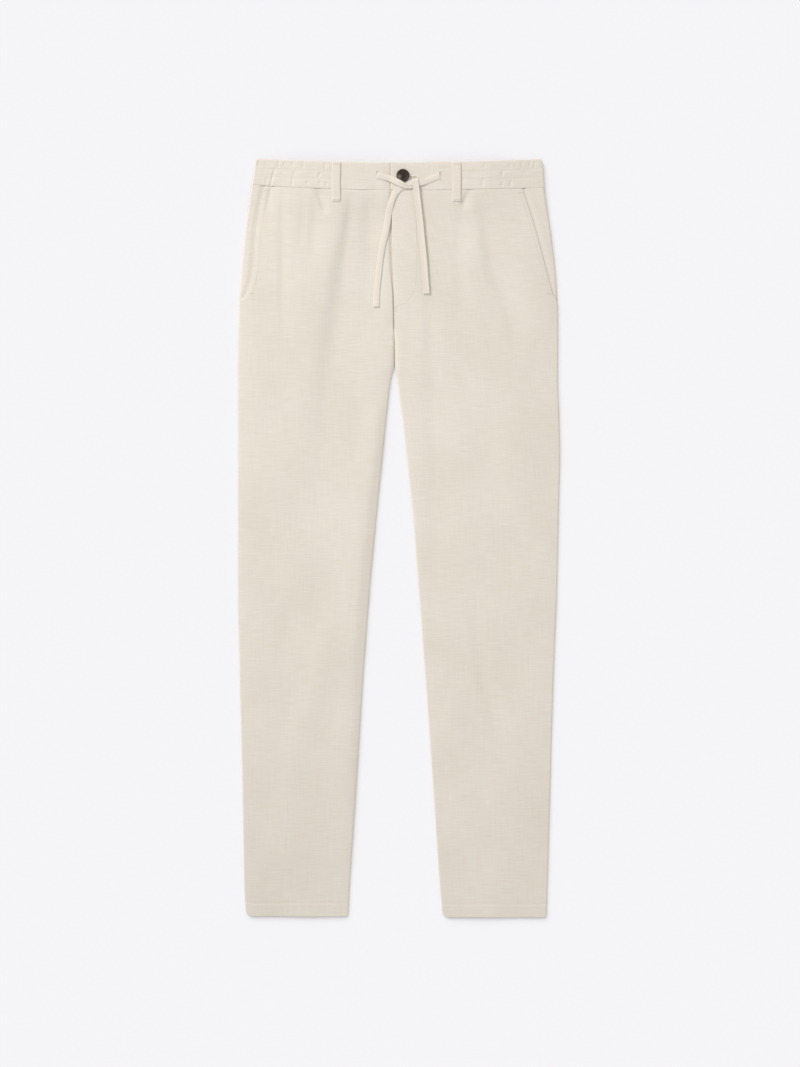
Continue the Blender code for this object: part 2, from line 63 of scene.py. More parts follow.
SUN = 1.42
SUN_ANGLE = 56.0  # degrees across, for the softness of its shadows
SUN_FROM = (-0.55, 0.93, 0.95)
LAMP_FROM = (-2.72, 3.02, 2.16)
LAMP_AIM = (0.1, 0.0, 0.0)
LAMP_SIZE = 0.9
LAMP_SPREAD = 40.0  # degrees, kept in by a grid
LAMP_WATTS = 6.6


def linear(colour):
    """An sRGB hex colour as linear red, green, blue and alpha."""
    values = [int(colour[i : i + 2], 16) / 255 for i in (1, 3, 5)]
    return [v / 12.92 if v <= 0.04045 else ((v + 0.055) / 1.055) ** 2.4 for v in values] + [1.0]


def add_node(tree, kind, sockets=(), **settings):
    """Adds a node. sockets are (input, value or the output that feeds it) pairs."""
    node = tree.nodes.new(f"ShaderNode{kind}")
    for name, value in settings.items():
        setattr(node, name, value)
    for name, value in sockets:
        if isinstance(value, bpy.types.NodeSocket):
            tree.links.new(value, node.inputs[name])
        else:
            node.inputs[name].default_value = value
    return node


def new_material(name):
    """A material with its node tree and its shader."""
    material = bpy.data.materials.new(name)
    material.use_nodes = True
    return material, material.node_tree, material.node_tree.nodes["Principled BSDF"]


scene = bpy.context.scene
scene.view_settings.view_transform = "Standard"

camera = bpy.data.objects.new("camera", bpy.data.cameras.new("camera"))
camera.location = CAMERA_AT
camera.data.lens = CAMERA_LENS
scene.collection.objects.link(camera)
scene.camera = camera

world = bpy.data.worlds.new("even_light")
world.use_nodes = True
world.node_tree.nodes["Background"].inputs["Strength"].default_value = SKY
world.node_tree.nodes["Background"].inputs["Color"].default_value = (1.0, 1.0, 1.0, 1.0)
scene.world = world

# White emulsion paint, rolled on: matt, with the faint orange-peel of the roller.
paint, tree, shader = new_material("emulsion_paint")
shader.inputs["Base Color"].default_value = linear(FLOOR_PAINT)
shader.inputs["Specular IOR Level"].default_value = 0.0
place = add_node(tree, "TexCoord")
peel = add_node(tree, "TexNoise", [("Vector", place.outputs["Object"]), ("Scale", 1 / (PEEL * MM))])
matt = add_node(tree, "MapRange", [("Value", peel.outputs["Fac"]), ("To Min", 0.85), ("To Max", 0.95)])
tree.links.new(matt.outputs["Result"], shader.inputs["Roughness"])

floor_mesh = bmesh.new()
bmesh.ops.create_grid(floor_mesh, x_segments=1, y_segments=1, size=FLOOR_SIZE / 2)
floor = bpy.data.objects.new("floor", bpy.data.meshes.new("floor"))
floor_mesh.to_mesh(floor.data)
floor_mesh.free()
floor.location.z = -FLOOR_DROP
floor.data.materials.append(paint)
scene.collection.objects.link(floor)


def add_light(name, kind, energy, at, aim, lights_floor):
    """A light that shines from a place to another, on the floor only or on all but the floor."""
    light = bpy.data.objects.new(name, bpy.data.lights.new(name, kind))
    light.data.energy = energy
    light.location = at
    light.rotation_euler = (Vector(aim) - Vector(at)).to_track_quat("-Z", "Y").to_euler()
    scene.collection.objects.link(light)
    lit = bpy.data.collections.new(f"lit_by_{name}")
    lit.objects.link(floor)
    lit.collection_objects[0].light_linking.link_state = "INCLUDE" if lights_floor else "EXCLUDE"
    light.light_linking.receiver_collection = lit
    return light


sun = add_light("sun", "SUN", SUN, SUN_FROM, (0.0, 0.0, 0.0), True)
sun.data.angle = math.radians(SUN_ANGLE)
lamp = add_light("broad_lamp", "AREA", LAMP_WATTS, LAMP_FROM, LAMP_AIM, False)
lamp.data.size = LAMP_SIZE
lamp.data.spread = math.radians(LAMP_SPREAD)

# ---------------------------------------------------------------- backs
# The two backs are cut from one cloth and lie flat on the board. Each is rolled up at its side
# and inleg, where it is sewn to the front, and is creased a little by lying there.
LEFT = 1
RIGHT = -1
SIDE_NAME = {LEFT: "left", RIGHT: "right"}
CLOTH = 1.2  # a wall of linen with its seam allowances
GAP = 0.3
STEP = CLOTH + GAP  # how far a lap lies below the cloth over it
WAIST_SEAM = 497.0
CROTCH = 250.0
ROLLS_FROM = CROTCH + 42.0  # the centre seams begin to roll over into the inlegs here
HEM = {RIGHT: -539.5, LEFT: -541.0}
HEM_CORNER = {("outer", RIGHT): 9.0, ("inner", RIGHT): 3.0, ("outer", LEFT): 2.0, ("inner", LEFT): 9.0}
SEAM_RISE = {RIGHT: 7.5, LEFT: 4.0}  # how much higher the waist seam is at the sides
SEAM_BENDS_FROM = 430.0
SIDE_X = 204.0  # half the waist
INSIDE_Z = 3.4  # a height between the two layers
BACK_GRAIN = 3.6  # size of a face in the middle of a back
SEAM_BULGE = 0.12  # how far the rounded rim of a piece stands out
RIM_SHARE = 0.8  # where the line round that rim is, as a share of the bulge and half the wall
PRESSED = 0.55  # how square a rolled edge is: 1 is round, and near 0 it is a sharp corner
BOLT = (1, 9)  # the pieces are cut between these places on the bolt, in metres
TINY = 1e-9  # less than any length here, so that nothing is divided by 0

Section = namedtuple("Section", "y right_outer right_inner left_inner left_outer")
OUTLINE = [  # above the crotch both inner edges are the centre front
    Section(-541, -218.0, -72.5, 62.5, 210.5),
    Section(-500, -220.5, -70.5, 59.0, 212.0),
    Section(-360, -223.0, -61.0, 49.5, 216.0),
    Section(-200, -227.0, -51.0, 38.0, 220.5),
    Section(-60, -230.0, -40.5, 27.5, 226.0),
    Section(40, -230.0, -31.0, 19.5, 228.0),
    Section(120, -230.0, -23.0, 11.0, 230.0),
    Section(180, -230.0, -17.0, 4.5, 228.5),
    Section(226, -230.0, -11.5, -2.0, 227.0),
    Section(250, -230.0, -5.9, -5.9, 227.0),
    Section(320, -228.5, -6.2, -6.2, 227.0),
    Section(380, -224.5, -8.1, -8.1, 223.5),
    Section(440, -218.5, -9.9, -9.9, 216.5),
    Section(500, -209.0, -9.8, -9.8, 207.5),
    Section(529, -205.4, -9.8, -9.8, 205.8),
    Section(541, -204.0, -9.8, -9.8, 203.0),
]

Height = namedtuple("Height", "y top bed")
HEIGHTS = [  # the front's upper face at its edges, and the lift of the back where loops lie under it
    Height(-541, 3.1, 0.0),
    Height(250, 3.2, 0.0),
    Height(400, 3.4, 0.0),
    Height(450, 4.0, 0.0),
    Height(478, 5.2, 1.3),
    Height(541, 5.4, 1.3),
]

# A crease is a line of bends from its foot to its head. Each bend rises, or sinks if the rise is
# negative, and fades out over its width on the west (-X) and on the east (+X).
Bend = namedtuple("Bend", "x y rise west east")
BEND_STRETCHES = 6  # straight stretches of a crease for each of its bends
BACK_CREASES = [
    [Bend(-150, -430, 0, 8, 12), Bend(-132, -330, 0.8, 8, 14), Bend(-118, -200, 0.5, 9, 15),
     Bend(-112, -120, 0, 10, 15)],
    [Bend(-92, 60, 0, 9, 12), Bend(-104, 150, 0.8, 10, 16), Bend(-120, 235, 0.9, 10, 18),
     Bend(-131, 310, 0, 10, 14)],
    [Bend(-180, 250, 0, 7, 10), Bend(-176, 340, 0.7, 7, 12), Bend(-168, 430, 0, 8, 12)],
    [Bend(-60, 330, 0, 7, 11), Bend(-66, 400, 0.8, 8, 12), Bend(-68, 470, 0, 7, 10)],
    [Bend(128, -470, 0, 9, 12), Bend(139, -380, 0.7, 9, 14), Bend(158, -250, 0.9, 10, 16),
     Bend(170, -150, 0, 9, 13)],
    [Bend(82, -40, 0, 8, 14), Bend(96, 70, 0.8, 9, 16), Bend(104, 190, 0.6, 9, 15),
     Bend(108, 260, 0, 8, 12)],
    [Bend(40, 262, 0, 6, 9), Bend(70, 300, 0.9, 7, 11), Bend(104, 326, 0, 7, 10)],
    [Bend(170, 290, 0, 8, 11), Bend(164, 380, 0.9, 8, 12), Bend(160, 455, 0, 7, 10)],
]  # fmt: skip


def smooth(knots, at):
    """Values at places on a curve through the knots that doesn't overshoot them."""
    places, values = np.array(knots, float).T
    at = np.clip(at, places[0], places[-1])
    k = np.clip(np.searchsorted(places, at, side="right") - 1, 0, len(places) - 2)
    spans = np.diff(places)
    chords = np.diff(values) / spans
    slopes = np.concatenate([chords[:1], np.zeros(len(chords) - 1), chords[-1:]])
    agree = chords[:-1] * chords[1:] > 0
    slopes[1:-1][agree] = 2 / (1 / chords[:-1][agree] + 1 / chords[1:][agree])
    t = (at - places[k]) / spans[k]
    start = (1 + 2 * t) * (1 - t) ** 2 * values[k] + t * (1 - t) ** 2 * spans[k] * slopes[k]
    end = t * t * (3 - 2 * t) * values[k + 1] + t * t * (t - 1) * spans[k] * slopes[k + 1]
    return start + end


def ease(t):
    """0 below 0, 1 above 1, and smooth between."""
    t = np.clip(t, 0.0, 1.0)
    return t * t * (3 - 2 * t)


def ease_between(ends, at):
    """0 before the first end, 1 past the second, and smooth between."""
    return ease((at - ends[0]) / (ends[1] - ends[0]))


def spaced(*stops):
    """Places from the first stop to the last. A stop is (place, spacing around it)."""
    places = [stops[0][0]]
    for (start, first), (end, last) in zip(stops, stops[1:]):
        count = max(1, round(abs(end - start) * 2 / (first + last)))
        t = np.arange(1, count + 1) / count
        places.extend(start + (end - start) * t * (2 * first + (last - first) * t) / (first + last))
    return np.array(places)


def column(table, name):
    """One column of a table, as pairs of a height up the pair and a value."""
    return [(row.y, getattr(row, name)) for row in table]


EDGES = {
    (edge, side): column(OUTLINE, f"{SIDE_NAME[side]}_{edge}")
    for edge in ("outer", "inner")
    for side in (LEFT, RIGHT)
}


def height_of(name, y):
    """The height of the front's top or of the back's bed, on straight lines through the table."""
    return np.interp(y, *zip(*column(HEIGHTS, name)))


def edge_x(edge, side, y):
    """Where the outer or inner edge of one side lies, with the hem's round corners."""
    outward = side if edge == "outer" else -side
    corner = HEM_CORNER[edge, side]
    short = np.maximum(corner - (y - HEM[side]), 0.0)
    cut = corner - np.sqrt(np.maximum(corner**2 - short**2, 0.0))
    return smooth(EDGES[edge, side], y) - outward * cut


def seam_rise(x):
    """How much higher the waist seam is here than at the middle."""
    return np.where(x > 0, SEAM_RISE[LEFT], SEAM_RISE[RIGHT]) * (x / SIDE_X) ** 2


def bent(x, y):
    """The real height of a point of a row, since the rows near the waist seam bend with it."""
    return y + seam_rise(x) * ease_between((SEAM_BENDS_FROM, WAIST_SEAM), y)


def creased(creases, x, y):
    """How far the creases lift the cloth at each point."""
    lift = np.zeros_like(x)
    for crease in creases:
        knots = np.array(crease, float)
        count = BEND_STRETCHES * len(knots)
        ys = np.linspace(knots[0, 1], knots[-1, 1], count)
        if abs(knots[-1, 1] - knots[0, 1]) < abs(knots[-1, 0] - knots[0, 0]):
            # it runs more across than up, so its bends are taken in turn and not by their heights
            ys = np.interp(np.linspace(0, 1, count), np.linspace(0, 1, len(knots)), knots[:, 1])
        bends = np.stack([smooth(np.stack([knots[:, 1], knots[:, k]], 1), ys) for k in (0, 2, 3, 4)], 1)
        nearest = np.full(x.shape, np.inf)
        found = np.zeros_like(x)
        for k in range(len(ys) - 1):
            (x0, *bend0), (x1, *bend1) = bends[k], bends[k + 1]
            along = np.array([x1 - x0, ys[k + 1] - ys[k]])
            t = ((x - x0) * along[0] + (y - ys[k]) * along[1]) / max(along @ along, TINY)
            t = np.clip(t, 0.0, 1.0)
            dx, dy = x - x0 - t * along[0], y - ys[k] - t * along[1]
            away = np.hypot(dx, dy)
            rise, west, east = ((1 - t) * a + t * b for a, b in zip(bend0, bend1))
            width = np.where(dx < 0, west, east)
            found = np.where(away < nearest, rise * np.exp(-((away / width) ** 2)), found)
            nearest = np.minimum(nearest, away)
        lift += found
    return lift


def shell(name, middle, wall, material, inside_z=INSIDE_Z):
    """A cloth wall with a rounded rim, from a grid of the points in its middle.

    The outer face is the one that looks away from the height inside_z. The map "threads" holds
    the place on the cloth as it was cut, in metres, each piece from another part of the bolt.
    """
    normal = np.cross(np.gradient(middle, axis=1), np.gradient(middle, axis=0))
    normal /= np.maximum(np.linalg.norm(normal, axis=2, keepdims=True), TINY)
    if (normal[..., 2] * (middle[..., 2] - inside_z)).sum() < 0:
        normal = -normal
    outward = np.zeros_like(middle)
    for border, inner in ((np.s_[0], np.s_[1]), (np.s_[-1], np.s_[-2])):
        for at, beside in ((border, inner), ((slice(None), border), (slice(None), inner))):
            away = middle[at] - middle[beside]
            outward[at] += away / np.maximum(np.linalg.norm(away, axis=-1, keepdims=True), TINY)
    rows, columns = middle.shape[:2]
    numbers = np.arange(rows * columns).reshape(rows, columns)
    ring = np.concatenate([numbers[0], numbers[1:-1, -1], numbers[-1, ::-1], numbers[-2:0:-1, 0]])
    reach = np.expand_dims(np.broadcast_to(wall, (rows, columns)) / 2 + SEAM_BULGE, 2)
    rim = (middle + outward * reach * RIM_SHARE).reshape(-1, 3)[ring]
    half = normal * np.expand_dims(np.broadcast_to(wall, (rows, columns)) / 2, 2)
    points = np.concatenate([(middle + half).reshape(-1, 3), (middle - half).reshape(-1, 3), rim])
    quad = np.stack([numbers[:-1, :-1], numbers[:-1, 1:], numbers[1:, 1:], numbers[1:, :-1]], -1)
    quad = quad.reshape(-1, 4)
    last = 2 * rows * columns + np.arange(len(ring))
    after = np.roll(np.arange(len(ring)), -1)
    faces = np.concatenate([
        quad,
        quad[:, ::-1] + rows * columns,
        np.stack([ring[after], ring, last, last[after]], 1),
        np.stack([last[after], last, ring + rows * columns, ring[after] + rows * columns], 1),
    ])  # fmt: skip
    a, b, c = (points[faces[0][k]] for k in (0, 1, 2))
    if np.cross(b - a, c - b) @ normal[0, 0] < 0:
        faces = faces[:, ::-1]
    mesh = bpy.data.meshes.new(name)
    mesh.from_pydata((points * MM).tolist(), [], faces.tolist())
    mesh.shade_smooth()
    run = np.linalg.norm(np.diff(middle, axis=1), axis=2)
    u = np.concatenate([np.zeros((rows, 1)), np.cumsum(run, axis=1)], axis=1)
    u += (middle[:, columns // 2, 0] - u[:, columns // 2])[:, None]
    flat = np.stack([u, middle[..., 1]], -1).reshape(-1, 2) * MM
    bolt = random.Random(name)
    flat = flat + (bolt.uniform(*BOLT), bolt.uniform(*BOLT))
    flat = np.concatenate([flat, flat, flat[ring]])
    corners = np.zeros(len(mesh.loops), np.int32)
    mesh.loops.foreach_get("vertex_index", corners)
    mesh.uv_layers.new(name="threads").uv.foreach_set("vector", flat[corners].astype(np.float32).ravel())
    mesh.materials.append(material)
    piece = bpy.data.objects.new(name, mesh)
    scene.collection.objects.link(piece)
    return piece


def tube(y, wall, top=None):
    """Radius of the rolled edges and height of their middle."""
    top = height_of("top", y) if top is None else top
    bed = height_of("bed", y)
    return (top - bed - wall) / 2, (top + bed) / 2


def rolled(turn):
    """How far out and how far up a rolled edge is after a turn from its outermost line."""
    out = np.cos(turn)
    return np.sign(out) * np.abs(out) ** PRESSED, np.abs(np.sin(turn)) ** PRESSED


def inner_end(y, radius):
    """The angle at which a panel ends at the centre front or inleg. It rolls over near the crotch."""
    share = ease((ROLLS_FROM - y) / (ROLLS_FROM - CROTCH)) ** (1 / PRESSED)
    lowest = (GAP / 2 / radius) ** (1 / PRESSED)
    return lowest + (math.pi / 2 - lowest) * (1 - share)


def panel(side, ys, up, grain, fine, outer_start, inner_shift):
    """Middle points of one panel, in rows from its outer to its inner edge, and how level each is.

    fine lists the places of the first columns from an edge. outer_start(y) is where the panel
    starts, as a run round from the side seam, and inner_shift(y) moves its inner edge.
    """
    widest = max(abs(edge_x("outer", side, y) - edge_x("inner", side, y)) for y in ys)
    count = round((widest - 2 * fine[-1]) / grain)
    rows = []
    for y in ys:
        radius, centre = tube(y, CLOTH)
        quarter = radius * math.pi / 2
        ends_at = inner_end(y, radius)
        ends_out = rolled(ends_at)[0]
        inner_arc = radius * (math.pi / 2 - ends_at)
        outer = edge_x("outer", side, y) - side * CLOTH / 2
        inner = edge_x("inner", side, y) + inner_shift(y) + side * CLOTH / 2 * ends_out
        outer_turn = outer - side * radius
        inner_turn = inner + side * radius * ends_out
        total = quarter + abs(outer_turn - inner_turn) + inner_arc
        start = outer_start(y)
        middle = np.linspace(start + fine[-1], total - fine[-1], count + 1)[1:-1]
        run = np.concatenate([start + fine, middle, (total - fine)[::-1]])
        back = total - run
        x = outer_turn - side * (run - quarter)
        level = np.ones_like(x)
        turn = np.clip(run / radius, 0.0, math.pi / 2)
        rolls = run < quarter
        out, up_to = rolled(turn)
        x = np.where(rolls, outer - side * radius * (1 - out), x)
        level = np.where(rolls, up_to, level)
        if inner_arc > 0:
            turn = np.clip(ends_at + back / radius, 0.0, math.pi / 2)
            rolls = back < inner_arc
            out, up_to = rolled(turn)
            x = np.where(rolls, inner + side * radius * (ends_out - out), x)
            level = np.where(rolls, up_to, level)
        rows.append(np.stack([x, np.full_like(x, y), centre + up * radius * level, level], 1))
    grid = np.array(rows)
    return grid[..., :3], grid[..., 3]


# Slub linen, plain woven from undyed flax: matt and dry, with thick and thin weft threads that
# run across as short pale and dark streaks, fainter ones along the warp, and a soft sheen.
LINEN_DARK = "#D1C6B4"
LINEN_LIGHT = "#F5EFE6"
THREAD_PITCH = 1.2  # real threads are 0.6 mm apart, drawn twice as coarse so that they can show
WEAVE_RELIEF = 0.1  # how far the threads stand out
WAVE_PERIOD = math.pi / 10  # what one band of a wave texture takes up at a scale of 1
Streak = namedtuple("Streak", "width height share")
STREAKS = {  # size in millimetres, and how much each kind changes the colour
    "weft": Streak(24.0, 1.9, 0.45),  # slubs are about 1 mm thick, drawn thicker so that they can show
    "warp": Streak(2.2, 46.0, 0.22),
    "tone": Streak(90.0, 120.0, 0.3),
}

linen, tree, shader = new_material("slub_linen")
place = add_node(tree, "UVMap", uv_map="threads")
tone = 0.5
slubs = {}
for kind, streak in STREAKS.items():
    scale = (1 / (streak.width * MM), 1 / (streak.height * MM), 1.0)
    mapped = add_node(tree, "Mapping", [("Vector", place.outputs["UV"]), ("Scale", scale)])
    slubs[kind] = add_node(tree, "TexNoise", [
        ("Vector", mapped.outputs["Vector"]), ("Scale", 1.0), ("Detail", 3.0), ("Roughness", 0.55),
    ])  # fmt: skip
    apart = add_node(tree, "Math", [(0, slubs[kind].outputs["Fac"]), (1, 0.5)], operation="SUBTRACT")
    sockets = [(0, apart.outputs[0]), (1, streak.share), (2, tone)]
    tone = add_node(tree, "Math", sockets, operation="MULTIPLY_ADD").outputs[0]
sockets = [(0, tone), (6, linear(LINEN_DARK)), (7, linear(LINEN_LIGHT))]
colour = add_node(tree, "Mix", sockets, data_type="RGBA")
tree.links.new(colour.outputs[2], shader.inputs["Base Color"])
scale = WAVE_PERIOD / (THREAD_PITCH * MM)
sockets = [("Vector", place.outputs["UV"]), ("Scale", scale), ("Distortion", 0.0)]
warp, weft = (add_node(tree, "TexWave", sockets, bands_direction=direction) for direction in ("X", "Y"))
weave = add_node(tree, "Math", [(0, warp.outputs["Fac"]), (1, weft.outputs["Fac"])], operation="ADD")
sockets = [(0, slubs["weft"].outputs["Fac"]), (1, 1.6), (2, weave.outputs[0])]
relief = add_node(tree, "Math", sockets, operation="MULTIPLY_ADD")
sockets = [("Height", relief.outputs[0]), ("Strength", 0.2), ("Distance", WEAVE_RELIEF * MM)]
bump = add_node(tree, "Bump", sockets)
tree.links.new(bump.outputs["Normal"], shader.inputs["Normal"])
sockets = [("Value", slubs["weft"].outputs["Fac"]), ("To Min", 0.95), ("To Max", 0.8)]
dry = add_node(tree, "MapRange", sockets)
tree.links.new(dry.outputs["Result"], shader.inputs["Roughness"])
shader.inputs["Specular IOR Level"].default_value = 0.25
shader.inputs["Sheen Weight"].default_value = 0.08
shader.inputs["Sheen Roughness"].default_value = 0.5

HEM_DEEP = 19.0  # from the leg's end to the row of stitches that holds the turned-up hem
HEM_SWELL = 0.28  # how much the doubled cloth stands out
HEM_FADES = (1.0, 3.0)  # from how far below the row that swell fades, and over what height
HEM_PULL = (0.42, 1.3)  # how far the stitches pull the cloth in, and over what width


def hem_relief(side, y):
    """How far the doubled hem stands out, and how the stitch row pulls it in."""
    above = y - HEM[side] - HEM_DEEP
    swell = HEM_SWELL * (1 - ease((above + HEM_FADES[0]) / HEM_FADES[1]))
    return swell - HEM_PULL[0] * np.exp(-((above / HEM_PULL[1]) ** 2))


BACK_YS = spaced(
    (0.0, 1.2), (24.0, 1.6), (40.0, BACK_GRAIN), (950.0, BACK_GRAIN), (1010.0, 2.0), (1038.0, 1.6),
)  # fmt: skip
BACK_FINE = np.array([GAP / 2, 0.9, 1.7, 2.5, 3.4, 4.8, 7.0, 10.0])
for side in (LEFT, RIGHT):
    ys = HEM[side] + BACK_YS / BACK_YS[-1] * (WAIST_SEAM - HEM[side])
    middle, level = panel(side, ys, -1, BACK_GRAIN, BACK_FINE, lambda y: 0.0, lambda y: side * GAP / 2)
    x, y, z = middle[..., 0], middle[..., 1], middle[..., 2]
    z += (creased(BACK_CREASES, x, y) - np.minimum(hem_relief(side, y), 0.0)) * level**2
    middle[..., 1] = bent(x, y) - np.where(y >= WAIST_SEAM, GAP / 2, 0.0)
    back = shell(f"back_{SIDE_NAME[side]}", middle, CLOTH, linen)
    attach(back, "root")
    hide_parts(f"back_panel_{SIDE_NAME[side]}")

# ---------------------------------------------------------------- fronts
# The two fronts lie on the backs and are sewn to them at the sides and inlegs. They are cut away
# at the pocket mouths, lap at the fly, and carry the folds that hang from the gathered waist.
FLY_END = 322.0  # the fronts lap fully above this
FLY_LAPS_FROM = 301.0  # and below this the centre front is a plain seam
FLY_LAP = 1.8  # how far the right front runs under the left one
FLY_DIP = 14.0  # width over which it sinks to get there
FLY_SOFT_SHARE = 0.35  # the share of that which it sinks softly, and the rest is steep
FLY_STEEP = (2.0, 5.5)  # width of the steep part, low down and high up
FLY_STEEP_EASES = (345.0, 390.0)  # between these heights
FLY_FOOT = 0.9  # how far outside the left front's edge the steep part ends
FLY_SINKS = (290.0, 306.0)  # it begins to sink at the first height and has sunk at the second
FLY_SAG = 1.15  # how much further the right front sinks at the fly than it must
FLY_SAG_KEPT = 0.15  # and the share of that which is left where the waistband holds it
FLY_SAG_FADES = (465.0, 490.0)
POCKET_END = 338.0
POCKET_OPENS = POCKET_END + 4.0  # the mouth's edge is pressed thin above this
FRONT_GRAIN = 3.0
RIM_THIN = (0.5, 1.6)  # how much thinner the cloth is at the waist seam and hem, and how far in
MOUTH_THIN = (0.5, 3.5)  # the same at the pressed edge of a pocket mouth
FLY_THIN = (0.25, 3.0)  # and at the left front's edge at the fly
SEAM_SINK = (0.25, 2.2)  # the seam allowance pulls the front down at the waist seam

Puff = namedtuple("Puff", "y rise")
PUFF = [  # how much higher than its edges the middle of a leg lies
    Puff(-541, 0.5), Puff(-505, 1.1), Puff(-360, 1.9), Puff(0, 2.4), Puff(250, 2.9), Puff(400, 3.4),
    Puff(470, 3.1), Puff(497, 3.0),
]  # fmt: skip
EDGE_FALL = {  # how much of that is lost at each edge, and over what width
    ("outer", RIGHT): (0.85, 15.0), ("inner", RIGHT): (1.0, 9.0),
    ("outer", LEFT): (0.85, 24.0), ("inner", LEFT): (0.8, 16.0),
}  # fmt: skip
FALL_REACH = 10.0  # how far over the other leg the fall at an inner edge reaches
FALL_ENDS = 30.0  # that fall fades out from this far below the crotch to this far above it
RISE_TURNS_FROM = 400.0  # from here to the waist seam, the puff turns to the waist's own section
WAIST_MIDDLE = -4.0
WAIST_THINS = (118.0, 194.0)  # the waist begins and ends to thin this far from its middle

Mouth = namedtuple("Mouth", "y right left")
MOUTH = [  # hand-pocket mouths, from the side seam to the waist seam
    Mouth(338, -227.0, 226.0),
    Mouth(350, -216.5, 219.5),
    Mouth(385, -207.5, 210.0),
    Mouth(440, -203.0, 195.0),
    Mouth(497, -191.0, 176.0),
]

